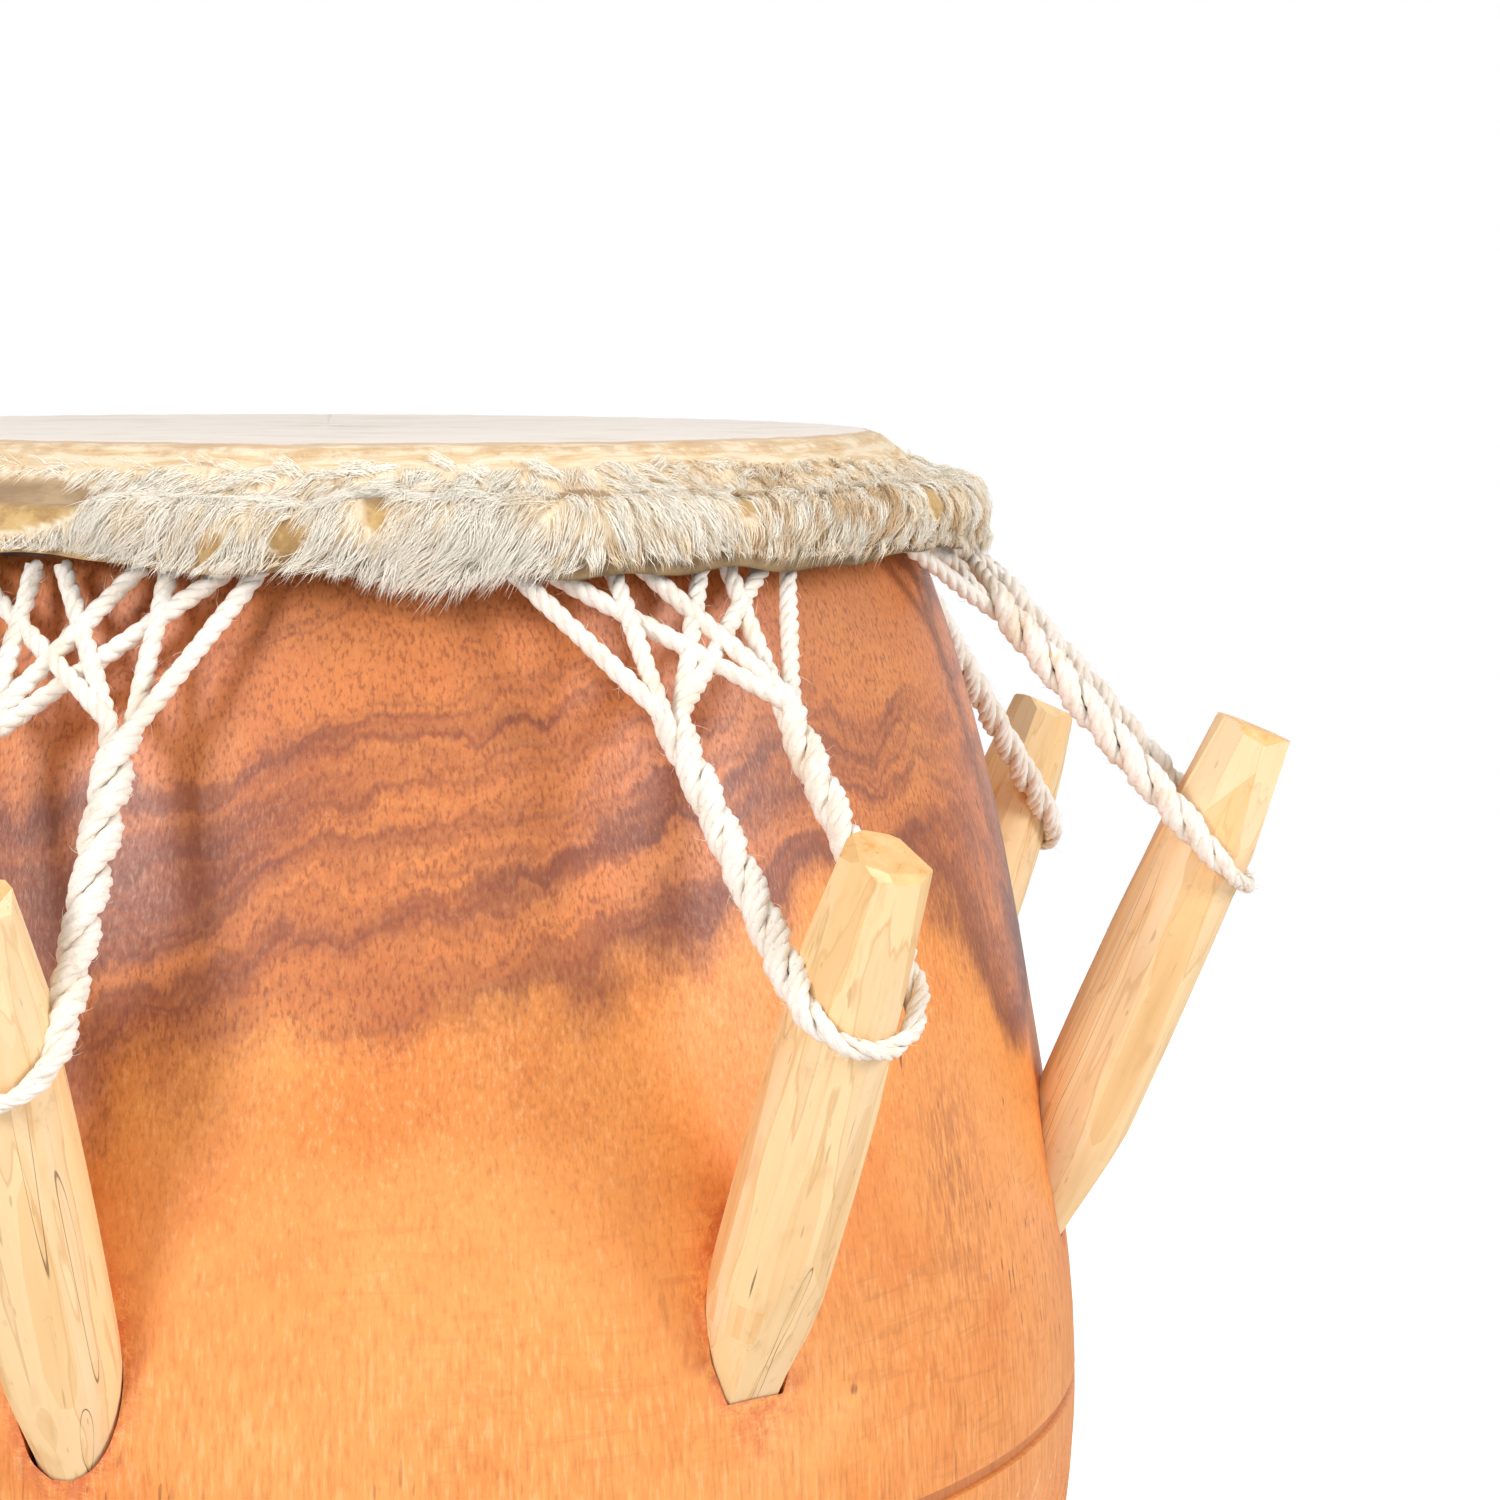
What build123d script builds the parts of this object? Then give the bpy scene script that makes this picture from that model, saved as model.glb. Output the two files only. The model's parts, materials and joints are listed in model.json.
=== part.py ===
"""A kpanlogo, the pegged hand drum of Ghana, as separate solids in millimetres.

The origin is the centre of the foot's underside and +Z runs up to the head.
Azimuth is measured about Z from -Y towards +X, so azimuth 0 faces the viewer.
"""
from build123d import *
import math
import os

# Shell: a hollow carved log, widest at the belly. Drops are below the playing face
HEAD_Z = 635.0            # playing face above the floor
BELLY_R = 175.0
BELLY_DROP = 215.0
FLANK_IN = 8.5            # inside the belly, where the straight upper flank starts
FLANK_DROP = 148.0
SHOULDER_OUT = 19.5       # outside the rim, below the lacing
SHOULDER_DROP = 55.0
COLLAR_OUT = 11.0         # outside the rim, just under the hoop
COLLAR_DROP = 30.0
CALF_IN = 24.0            # inside the belly, half way down
CALF_DROP = 345.0
WAIST_R = 108.0
WAIST_Z = 105.0
FOOT_R = 117.0
FOOT_CHAMFER = 3.0
BELLY_WALL = 25.0
FOOT_WALL = 22.0
RIM_R = 127.0             # outside of the bearing edge
RIM_FLAT = 4.0            # flat crown that the skin rests on
RIM_DROP = 4.0            # rounded outer corner of the rim
RIM_WALL = 15.0
GROOVE_DROP = 217.0       # carved ring round the belly
GROOVE_WIDTH = 3.4
GROOVE_DEPTH = 1.5
LOW_GROOVE_Z = 62.0       # second ring, above the foot

# Skin and its hidden hoop
SKIN = 1.5
SHOULDER_DIP = 1.2        # fall of the skin over the bearing edge
HOOP_OUT = 18.0           # centre line of the iron ring, outside the rim
HOOP_ROD = 9.0
HOOP_DROP = 17.0          # centre line below the playing face
HEM_DROP = 26.0           # cut edge of the skin below the playing face
FIT_GAP = 0.3             # between a hand-fitted piece and its seat

# Tuning pegs
PEG_COUNT = 8
PEG_AZIMUTH = -17.2       # first peg
PEG_INSET = 3.5           # hole centre inside the belly radius
PEG_ENTRY_DROP = 171.0    # hole centre below the playing face
PEG_LEAN = 22.7           # outward from the vertical
PEG_OUT = 108.0           # length standing out of the shell
PEG_IN = 76.0             # length inside the wall
PEG_TOP_R = 8.0
PEG_HIP_R = 11.0
PEG_HIP_DROP = 24.0
PEG_SEAT_R = 10.7         # worn where the cord bears
PEG_SEAT_DROP = 38.0
PEG_SHAFT_R = 11.4
PEG_TIP_R = 8.6
PEG_CROWN = 1.2
PEG_SIDES = 11            # knife flats round each peg
PEG_FLAT_TURN = 13.0      # each peg's flats are turned a little further
HOLE_GAP = 0.4            # all round the shaft
PEG_RISE = (-4.0, -1.0, 7.0, -5.0)   # hand-bored holes are uneven; opposite pegs are alike
PEG_TURN = (0.1, 0.3, 0.9, -0.9)     # degrees

# Lacing: one cotton cord, twisted up where it hangs on a peg
CORD = 3.9
LEG = 7.2                 # the twisted bundle
CORD_SIDES = 6
LEG_SIDES = 10
LOOP_DROP = 22.0          # centre of the hitch below the peg's top
GATHER_DROP = 50.0        # where the strands join, below the playing face
GATHERS = (-16.5, 11.0)   # sideways from the peg
PASS_ANGLES = (-13.2, -4.6, 3.9, 10.9)   # where the cord rounds the hoop, in degrees from the peg
PASS_SPREAD = 1.15        # half the angle between a pass's two strands
ROOT_IN = 2.0             # strands start this far inside the hoop's centre line

OUT = "parts"


def revolved(face):
    return revolve(face, axis=Axis.Z)


def rim_z():
    return HEAD_Z - SKIN


def hoop_r():
    return RIM_R + HOOP_OUT


def root_r():
    return hoop_r() - ROOT_IN


def shell_body():
    """The log's outline and its bore, turned about the drum's axis."""
    top = rim_z()
    collar = (RIM_R + COLLAR_OUT, HEAD_Z - COLLAR_DROP)
    shoulder = (RIM_R + SHOULDER_OUT, HEAD_Z - SHOULDER_DROP)
    flank = (BELLY_R - FLANK_IN, HEAD_Z - FLANK_DROP)
    belly = (BELLY_R, HEAD_Z - BELLY_DROP)
    calf = (BELLY_R - CALF_IN, HEAD_Z - CALF_DROP)
    waist = (WAIST_R, WAIST_Z)
    inner_rim = RIM_R - RIM_WALL
    belly_bore = BELLY_R - BELLY_WALL
    calf_bore = BELLY_R - CALF_IN - BELLY_WALL
    waist_bore = WAIST_R - FOOT_WALL
    foot_bore = FOOT_R - FOOT_WALL
    crown_r = RIM_R - RIM_DROP
    with BuildSketch(Plane.XZ) as section:
        with BuildLine():
            Line((foot_bore, 0), (FOOT_R - FOOT_CHAMFER, 0))
            Line((FOOT_R - FOOT_CHAMFER, 0), (FOOT_R, FOOT_CHAMFER))
            Spline((FOOT_R, FOOT_CHAMFER), waist, calf, belly, flank, shoulder, collar,
                   (RIM_R, top - RIM_DROP), tangents=((-0.25, 1), (-0.5, 1)))
            RadiusArc((RIM_R, top - RIM_DROP), (crown_r, top), -RIM_DROP)
            Line((crown_r, top), (crown_r - RIM_FLAT, top))
            Line((crown_r - RIM_FLAT, top), (inner_rim, top - RIM_DROP))
            Spline((inner_rim, top - RIM_DROP), (belly_bore, belly[1]), (calf_bore, calf[1]),
                   (waist_bore, WAIST_Z), (foot_bore, 0))
        make_face()
    return revolved(section.sketch)


def ring_groove(radius, height):
    """A shallow V that a knife cuts round the outside."""
    floor = (radius - GROOVE_DEPTH, height)
    lips = [(radius + GROOVE_DEPTH, height + side * GROOVE_WIDTH) for side in (1, -1)]
    with BuildSketch(Plane.XZ) as cut:
        with BuildLine():
            Polyline(floor, *lips, close=True)
        make_face()
    return revolved(cut.sketch)


def radial(r, sideways, z, azimuth):
    """A point given by its distance from the axis plane, its sideways shift and its height."""
    a = math.radians(azimuth)
    x = r * math.sin(a) + sideways * math.cos(a)
    y = -r * math.cos(a) + sideways * math.sin(a)
    return Vector(x, y, z)


def peg_azimuth(k):
    return PEG_AZIMUTH + k * 360.0 / PEG_COUNT + PEG_TURN[k % len(PEG_TURN)]


def peg_entry(k):
    """Radius and height where the peg's axis meets the shell's surface."""
    return BELLY_R - PEG_INSET, HEAD_Z - PEG_ENTRY_DROP + PEG_RISE[k % len(PEG_RISE)]


def peg_point(k, along):
    """Radius and height on the peg's axis, counted upwards from the entry."""
    r, z = peg_entry(k)
    lean = math.radians(PEG_LEAN)
    return r + along * math.sin(lean), z + along * math.cos(lean)


def peg_plane(k, along):
    r, z = peg_point(k, along)
    azimuth = peg_azimuth(k)
    up = radial(math.sin(math.radians(PEG_LEAN)), 0, math.cos(math.radians(PEG_LEAN)), azimuth)
    side = radial(0, 1, 0, azimuth)
    return Plane(origin=radial(r, 0, z, azimuth), x_dir=side, z_dir=up)


def peg(k):
    """A hand-cut peg: long knife flats over a tapered head, a swollen hip, a worn seat, a shaft."""
    top = PEG_OUT
    sections = (
        (-PEG_IN, PEG_TIP_R),
        (0, PEG_SHAFT_R),
        (top - 2 * PEG_SEAT_DROP, PEG_SHAFT_R),
        (top - PEG_SEAT_DROP, PEG_SEAT_R),
        (top - PEG_HIP_DROP, PEG_HIP_R),
        (top - PEG_CROWN, PEG_TOP_R),
        (top, PEG_TOP_R - PEG_CROWN),
    )
    turn = PEG_FLAT_TURN * k
    outlines = []
    for height, radius in sections:
        outlines.append(Pos(0, 0, height) * RegularPolygon(radius, PEG_SIDES, rotation=turn))
    return peg_plane(k, 0).location * loft(outlines, ruled=True)


def peg_hole(k):
    """The slanting hole: the shaft's own size and a little more, open to the bore."""
    hole = Cylinder(PEG_SHAFT_R + HOLE_GAP, PEG_IN + PEG_OUT)
    return peg_plane(k, 0).location * hole


def shell():
    body = shell_body()
    body -= ring_groove(BELLY_R, HEAD_Z - GROOVE_DROP)
    body -= ring_groove(WAIST_R, LOW_GROOVE_Z)
    for k in range(PEG_COUNT):
        body -= peg_hole(k)
    return body


def hoop():
    return Pos(0, 0, HEAD_Z - HOOP_DROP) * Torus(hoop_r(), HOOP_ROD / 2)


def skin_fold(offset):
    """Outline of the skin at a distance under its outer face: flat head, shoulder, fold, hem."""
    hoop_z = HEAD_Z - HOOP_DROP
    bend = HOOP_ROD / 2 + FIT_GAP + SKIN - offset
    edge = RIM_R + FIT_GAP
    shoulder = Vector(edge, HEAD_Z - SHOULDER_DIP - offset)
    centre = Vector(hoop_r(), hoop_z)
    reach = centre - shoulder
    turn = math.acos(bend / reach.length)
    towards = math.atan2(-reach.Y, -reach.X)
    touch = centre + Vector(math.cos(towards - turn), math.sin(towards - turn)) * bend
    middle_angle = (towards - turn) / 2
    middle = centre + Vector(math.cos(middle_angle), math.sin(middle_angle)) * bend
    outside = Vector(hoop_r() + bend, hoop_z)
    hem = Vector(hoop_r() + bend, HEAD_Z - HEM_DROP)
    flat_end = Vector(RIM_R - RIM_DROP / 2, HEAD_Z - offset)
    return flat_end, shoulder, touch, middle, outside, hem


def drum_skin():
    """One goat skin: flat across the rim, drawn down over the hoop and cut off below it."""
    outer = skin_fold(0.0)
    inner = skin_fold(SKIN)
    with BuildSketch(Plane.XZ) as section:
        with BuildLine():
            Line((0, HEAD_Z), outer[0])
            Spline(outer[0], outer[1], tangents=((1, 0), outer[2] - outer[1]))
            Line(outer[1], outer[2])
            ThreePointArc(outer[2], outer[3], outer[4])
            Line(outer[4], outer[5])
            Line(outer[5], inner[5])
            Line(inner[5], inner[4])
            ThreePointArc(inner[4], inner[3], inner[2])
            Line(inner[2], inner[1])
            Spline(inner[1], inner[0], tangents=(inner[1] - inner[2], (-1, 0)))
            Line(inner[0], (0, HEAD_Z - SKIN))
            Line((0, HEAD_Z - SKIN), (0, HEAD_Z))
        make_face()
    return revolved(section.sketch)


def tangent_point(point, centre, radius, side):
    """Where a taut run from a point meets a round, on the given side."""
    reach = point - centre
    turn = math.acos(radius / reach.length)
    base = math.atan2(reach.Y, reach.X)
    angle = base + side * turn
    return centre + Vector(math.cos(angle), math.sin(angle)) * radius


def hitch_frame(k):
    """Plane of the hitch: X sideways, Y up the legs, centred on the peg's axis."""
    azimuth = peg_azimuth(k)
    r, z = peg_point(k, PEG_OUT - LOOP_DROP)
    rise = HEAD_Z - HOOP_DROP - HOOP_ROD / 2 - z
    reach = math.hypot(rise, root_r() - r)
    lift = rise / reach
    inwards = (root_r() - r) / reach
    side = radial(0, 1, 0, azimuth)
    up = radial(inwards, 0, lift, azimuth)
    normal = side.cross(up)
    return Plane(origin=radial(r, 0, z, azimuth), x_dir=side, z_dir=normal)


def gather_height(k):
    """Distance up the legs from the hitch to where the strands join."""
    frame = hitch_frame(k)
    return (HEAD_Z - GATHER_DROP - frame.origin.Z) / frame.y_dir.Z


def hitch_path(k):
    """The twisted legs' centre line: down one side, tight round the peg, up the other."""
    frame = hitch_frame(k)
    axis = peg_plane(k, 0).z_dir
    crossing = math.sin(math.radians(frame.y_dir.get_angle(axis)))
    round_r = PEG_HIP_R + LEG / 2 + FIT_GAP
    centre = Vector(0, -(round_r / crossing - round_r))
    height = gather_height(k)
    left = Vector(GATHERS[0], height)
    right = Vector(GATHERS[1], height)
    start = tangent_point(left, centre, round_r, 1)
    finish = tangent_point(right, centre, round_r, -1)
    bottom = centre - Vector(0, round_r)
    points = [left, start, bottom, finish, right]
    return [frame.from_local_coords(p) for p in points], round_r


def strand_root(k, angle):
    """A strand's upper end, just under the hoop."""
    z = HEAD_Z - HOOP_DROP - HOOP_ROD / 2 - FIT_GAP - CORD / 2
    return radial(root_r(), 0, z, peg_azimuth(k) + angle)


def cord_section(start, towards, diameter, sides):
    """The cord's cross-section, a many-sided stand-in for its round, square to its run."""
    plane = Plane(origin=start, z_dir=towards - start)
    return plane * RegularPolygon(diameter / 2, sides)


def strand(start, end):
    face = cord_section(start, end, CORD, CORD_SIDES)
    return extrude(face, amount=(end - start).length)


def lacing(k):
    """All the cord of one peg: eight strands, two gathers and the twisted hitch."""
    points, round_r = hitch_path(k)
    left, start, bottom, finish, right = points
    run = Wire([Edge.make_line(left, start), Edge.make_three_point_arc(start, bottom, finish),
                Edge.make_line(finish, right)])
    section = cord_section(left, start, LEG, LEG_SIDES)
    legs = sweep(section, path=run)
    print(f"lacing {k + 1}: hitch {run.length:.1f} long, bend radius {round_r:.1f},"
          f" volume share {legs.volume / (section.area * run.length):.4f}")
    strands = []
    for gather, hand in ((left, -1), (right, 1)):
        for angle in PASS_ANGLES:
            strands.append(strand(gather, strand_root(k, angle + hand * PASS_SPREAD)))
    return legs.fuse(*strands)


def write(name, solid):
    solids = solid.solids()
    shape = solids[0] if len(solids) == 1 else Compound(children=solids)
    shape.label = name
    export_step(shape, os.path.join(OUT, name + ".step"))
    print(name, len(solids), "solid", f"{solid.volume / 1000:.1f} cm3")


def main():
    os.makedirs("parts", exist_ok=True)
    write("shell", shell())
    write("drum_skin", drum_skin())
    write("hoop", hoop())
    for k in range(PEG_COUNT):
        write(f"peg_{k + 1}", peg(k))
        write(f"lacing_{k + 1}", lacing(k))


main()
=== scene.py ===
# %% [markdown]
# A kpanlogo is a Ghanaian hand drum: a hollow log, a goat skin folded over an iron hoop, and a cotton
# cord that hangs the hoop on wooden pegs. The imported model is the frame: every piece below takes its
# place from it, so nothing has to be fitted afterwards.

# %% Load the frame
import json
import math
import random

import bmesh
import bpy
import numpy as np
from mathutils import Matrix, Vector
from mathutils.kdtree import KDTree


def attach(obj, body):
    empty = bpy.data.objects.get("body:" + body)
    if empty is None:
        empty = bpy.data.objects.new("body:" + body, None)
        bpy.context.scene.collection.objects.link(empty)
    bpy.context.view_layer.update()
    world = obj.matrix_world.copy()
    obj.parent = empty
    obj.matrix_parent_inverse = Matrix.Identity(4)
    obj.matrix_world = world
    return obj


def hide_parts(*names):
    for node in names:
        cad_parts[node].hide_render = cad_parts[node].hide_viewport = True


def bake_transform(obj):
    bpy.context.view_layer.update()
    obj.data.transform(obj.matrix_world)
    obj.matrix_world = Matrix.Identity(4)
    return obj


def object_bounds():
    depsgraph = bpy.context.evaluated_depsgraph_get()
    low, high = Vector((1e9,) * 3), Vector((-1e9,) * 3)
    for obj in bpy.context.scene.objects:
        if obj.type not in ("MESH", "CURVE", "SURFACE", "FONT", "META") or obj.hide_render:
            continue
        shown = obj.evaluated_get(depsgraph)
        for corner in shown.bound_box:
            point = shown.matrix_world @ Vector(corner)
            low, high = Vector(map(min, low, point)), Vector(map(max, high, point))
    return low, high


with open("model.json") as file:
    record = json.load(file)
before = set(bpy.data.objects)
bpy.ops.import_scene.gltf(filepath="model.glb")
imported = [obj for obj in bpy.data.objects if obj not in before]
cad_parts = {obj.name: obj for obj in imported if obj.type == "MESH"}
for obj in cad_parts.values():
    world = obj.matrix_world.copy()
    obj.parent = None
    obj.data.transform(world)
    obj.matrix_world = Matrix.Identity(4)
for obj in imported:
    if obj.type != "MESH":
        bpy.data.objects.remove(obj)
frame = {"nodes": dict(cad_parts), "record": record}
cad_low, cad_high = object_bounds()
MM = 0.001
HEAD_Z = cad_high.z
PEGS = 8
print("frame", [round(v, 4) for v in cad_low], [round(v, 4) for v in cad_high])

# %% [markdown]
# The photograph looks almost level at the head from 0.79 m away, a little to the right of the drum's
# axis, so the drum runs out of the picture on the left. The camera is built from those measured angles,
# because an aimed camera would hide them.

# %% Camera
PHOTO_SIDE = 1500
FOCAL_PIXELS = 3377.5
CAMERA_BACK = 787.6 * MM
CAMERA_ABOVE_HEAD = 19.9 * MM
YAW = math.radians(7.126)
PITCH = math.radians(6.907)
ROLL = math.radians(0.28)

camera_data = bpy.data.cameras.new("photo_camera")
camera_data.sensor_width = 36.0
camera_data.lens = camera_data.sensor_width * FOCAL_PIXELS / PHOTO_SIDE
camera = bpy.data.objects.new("photo_camera", camera_data)
bpy.context.collection.objects.link(camera)
look = Vector((math.sin(YAW) * math.cos(PITCH), math.cos(YAW) * math.cos(PITCH), -math.sin(PITCH)))
level = Vector((math.cos(YAW), -math.sin(YAW), 0))
upright = level.cross(look)
right = level * math.cos(ROLL) + upright * math.sin(ROLL)
top = upright * math.cos(ROLL) - level * math.sin(ROLL)
turned = Matrix((right, top, -look)).transposed()
camera.matrix_world = Matrix.Translation((0, -CAMERA_BACK, HEAD_Z + CAMERA_ABOVE_HEAD)) @ turned.to_4x4()
bpy.context.scene.camera = camera
bpy.context.scene.view_settings.view_transform = "Standard"
print("lens", round(camera_data.lens, 1), "mm")

# %% [markdown]
# A small kit of shader helpers keeps each finish short. Each helper adds one node and returns its
# output, so a finish reads from top to bottom like a recipe.


# %% Shader helpers
class Finish:
    """One material and the nodes that make it."""

    def __init__(self, name, roughness=0.6):
        self.material = bpy.data.materials.new(name)
        self.material.use_nodes = True
        self.nodes = self.material.node_tree.nodes
        self.links = self.material.node_tree.links
        self.shader = self.nodes["Principled BSDF"]
        self.shader.inputs["Roughness"].default_value = roughness
        self.place = self.nodes.new("ShaderNodeTexCoord").outputs["Object"]

    def feed(self, value, socket):
        if isinstance(value, bpy.types.NodeSocket):
            self.links.new(value, socket)
        else:
            socket.default_value = value

    def attribute(self, name, output="Fac"):
        node = self.nodes.new("ShaderNodeAttribute")
        node.attribute_name = name
        return node.outputs[output]

    def stretched(self, scale, place=None, move=(0, 0, 0)):
        node = self.nodes.new("ShaderNodeMapping")
        node.inputs["Scale"].default_value = scale
        node.inputs["Location"].default_value = move
        self.links.new(place or self.place, node.inputs["Vector"])
        return node.outputs["Vector"]

    def noise(self, scale, detail=3.0, roughness=0.5, place=None, distortion=0.0):
        node = self.nodes.new("ShaderNodeTexNoise")
        node.inputs["Scale"].default_value = scale
        node.inputs["Detail"].default_value = detail
        node.inputs["Roughness"].default_value = roughness
        node.inputs["Distortion"].default_value = distortion
        self.links.new(place or self.place, node.inputs["Vector"])
        return node.outputs["Fac"]

    def cells(self, scale, place=None):
        node = self.nodes.new("ShaderNodeTexVoronoi")
        node.inputs["Scale"].default_value = scale
        self.links.new(place or self.place, node.inputs["Vector"])
        return node.outputs["Distance"]

    def step(self, value, low, high, out_low=0.0, out_high=1.0):
        node = self.nodes.new("ShaderNodeMapRange")
        node.interpolation_type = "SMOOTHSTEP"
        self.feed(value, node.inputs["Value"])
        node.inputs["From Min"].default_value = low
        node.inputs["From Max"].default_value = high
        node.inputs["To Min"].default_value = out_low
        node.inputs["To Max"].default_value = out_high
        return node.outputs["Result"]

    def maths(self, operation, a, b=0.0):
        node = self.nodes.new("ShaderNodeMath")
        node.operation = operation
        self.feed(a, node.inputs[0])
        self.feed(b, node.inputs[1])
        return node.outputs["Value"]

    def length(self, place):
        node = self.nodes.new("ShaderNodeVectorMath")
        node.operation = "LENGTH"
        self.links.new(place, node.inputs[0])
        return node.outputs["Value"]

    def moved(self, place, shift):
        node = self.nodes.new("ShaderNodeVectorMath")
        self.links.new(place, node.inputs[0])
        self.links.new(shift, node.inputs[1])
        return node.outputs["Vector"]

    def joined(self, x, y, z):
        node = self.nodes.new("ShaderNodeCombineXYZ")
        for value, socket in zip((x, y, z), node.inputs):
            self.feed(value, socket)
        return node.outputs["Vector"]

    def axis(self, name, place=None):
        node = self.nodes.new("ShaderNodeSeparateXYZ")
        self.links.new(place or self.place, node.inputs["Vector"])
        return node.outputs[name]

    def ramp(self, value, *stops):
        node = self.nodes.new("ShaderNodeValToRGB")
        node.color_ramp.interpolation = "EASE"
        elements = node.color_ramp.elements
        while len(elements) < len(stops):
            elements.new(0.5)
        for element, (position, shade) in zip(elements, stops):
            element.position = position
            element.color = colour(shade)
        self.links.new(value, node.inputs["Fac"])
        return node.outputs["Color"]

    def mix(self, amount, a, b, blend="MIX"):
        node = self.nodes.new("ShaderNodeMix")
        node.data_type = "RGBA"
        node.blend_type = blend
        self.feed(amount, node.inputs[0])
        self.feed(colour(a), node.inputs[6])
        self.feed(colour(b), node.inputs[7])
        return node.outputs[2]

    def bump(self, height, distance, strength=1.0):
        node = self.nodes.new("ShaderNodeBump")
        node.inputs["Distance"].default_value = distance
        node.inputs["Strength"].default_value = strength
        self.links.new(height, node.inputs["Height"])
        self.links.new(node.outputs["Normal"], self.shader.inputs["Normal"])

    def base(self, shade):
        self.links.new(shade, self.shader.inputs["Base Color"])


def colour(shade):
    """A written screen colour such as "c48262", turned into the linear value that a node wants."""
    if not isinstance(shade, str):
        return shade
    linear = []
    for i in (0, 2, 4):
        value = int(shade[i:i + 2], 16) / 255
        linear.append(value / 12.92 if value <= 0.04045 else ((value + 0.055) / 1.055) ** 2.4)
    return (*linear, 1.0)


# %% [markdown]
# Mesh helpers. A finished piece's object stays at the origin with its place in its mesh, as the CAD
# nodes do, so patterns on object coordinates stay put.


# %% Mesh helpers
def keep(name, mesh, *materials, smooth_angle=None):
    """Makes an object of a mesh and gives it its finishes."""
    thing = bpy.data.objects.new(name, mesh)
    bpy.context.collection.objects.link(thing)
    for finish in materials:
        mesh.materials.append(finish.material)
    mesh.shade_smooth()
    if smooth_angle is not None:
        mesh.set_sharp_from_angle(angle=math.radians(smooth_angle))
    return thing


def mesh_of(bm, name):
    mesh = bpy.data.meshes.new(name)
    bm.to_mesh(mesh)
    bm.free()
    return mesh


def spun(outline, steps, closed):
    """A bmesh turned about the drum's axis from an outline of (radius, height)."""
    bm = bmesh.new()
    verts = [bm.verts.new((0, -r, z)) for r, z in outline]
    pairs = list(zip(verts, verts[1:]))
    if closed:
        pairs.append((verts[-1], verts[0]))
    edges = [bm.edges.new(pair) for pair in pairs]
    bmesh.ops.spin(bm, geom=verts + edges, cent=(0, 0, 0), axis=(0, 0, 1), angle=math.tau,
                   steps=steps, use_merge=True)
    bmesh.ops.remove_doubles(bm, verts=bm.verts, dist=1e-7)
    bmesh.ops.recalc_face_normals(bm, faces=bm.faces)
    return bm


def as_mesh(curve_data, name):
    """A curve's bevelled tube as a plain mesh."""
    helper = bpy.data.objects.new(name + "_curve", curve_data)
    bpy.context.collection.objects.link(helper)
    depsgraph = bpy.context.evaluated_depsgraph_get()
    mesh = bpy.data.meshes.new_from_object(helper.evaluated_get(depsgraph))
    mesh.name = name
    bpy.data.objects.remove(helper)
    bpy.data.curves.remove(curve_data)
    return mesh


def points_of(mesh):
    flat = np.empty(len(mesh.vertices) * 3)
    mesh.vertices.foreach_get("co", flat)
    return flat.reshape(-1, 3)


def place_points(mesh, points):
    mesh.vertices.foreach_set("co", points.reshape(-1))
    mesh.update()


def remember(mesh, name, values):
    """Stores one number, or one vector, on each point for a finish to read."""
    values = np.asarray(values, dtype=np.float32)
    kind, field = ("FLOAT", "value") if values.ndim == 1 else ("FLOAT_VECTOR", "vector")
    layer = mesh.attributes.new(name, kind, "POINT")
    layer.data.foreach_set(field, values.reshape(-1))


def waves(seed, count, low, high, size):
    """A seeded smooth ripple round the drum: a function of the angle and of a second place."""
    rng = np.random.default_rng(seed)
    turns = rng.integers(low, high, count)
    across = rng.uniform(-120, 120, count)
    phase = rng.uniform(0, math.tau, count)
    share = rng.uniform(0.4, 1.0, count)
    share *= size / np.sqrt((share ** 2).sum())

    def ripple(angle, along=0.0):
        total = np.zeros(np.broadcast(angle, along).shape)
        for n, a, p, s in zip(turns, across, phase, share):
            total += s * np.sin(n * angle + a * along + p)
        return total
    return ripple


# %% [markdown]
# Each peg's place is read from the frame: the joint gives the direction it is driven along, and the
# middle of its solid lies on its axis.


# %% Where each peg stands
def sideways(azimuth):
    return Vector((math.cos(azimuth), math.sin(azimuth), 0))


def outwards(azimuth):
    return Vector((math.sin(azimuth), -math.cos(azimuth), 0))


class PegPlace:
    """A peg's axis, ends and direction round the drum, from its CAD solid and its joint."""

    def __init__(self, number):
        self.name = f"peg_{number}"
        solid = points_of(frame["nodes"][self.name].data)
        joint = next(j for j in frame["record"]["behaviour"]["joints"] if j["child"] == self.name)
        self.axis = Vector(joint["axis"]).normalized()
        along = solid @ np.array(self.axis)
        self.top = along.max()
        self.tip = along.min()
        ends = [solid[np.abs(along - limit) < 1e-4].mean(axis=0) for limit in (self.tip, self.top)]
        self.origin = Vector((ends[0] + ends[1]) / 2)
        self.middle = self.origin.dot(self.axis)
        self.azimuth = math.atan2(self.axis.x, -self.axis.y)
        self.side = sideways(self.azimuth)
        self.back = self.axis.cross(self.side).normalized()

    def at(self, below_top):
        """A point on the axis, so far below the peg's top."""
        return self.origin + self.axis * (self.top - below_top - self.middle)

    def local(self, points):
        """Points turned into the peg's own frame: sideways, back, up from the tip."""
        away = np.asarray(points) - np.array(self.origin)
        turned_to = np.array([self.side, self.back, self.axis])
        placed = away @ turned_to.T
        placed[:, 2] += self.middle - self.tip
        return placed

    def world(self, placed):
        placed = np.array(placed, dtype=float)
        placed[:, 2] -= self.middle - self.tip
        return placed @ np.array([self.side, self.back, self.axis]) + np.array(self.origin)


places = [PegPlace(k + 1) for k in range(PEGS)]
print("peg azimuths", [round(math.degrees(p.azimuth), 1) for p in places])

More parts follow.
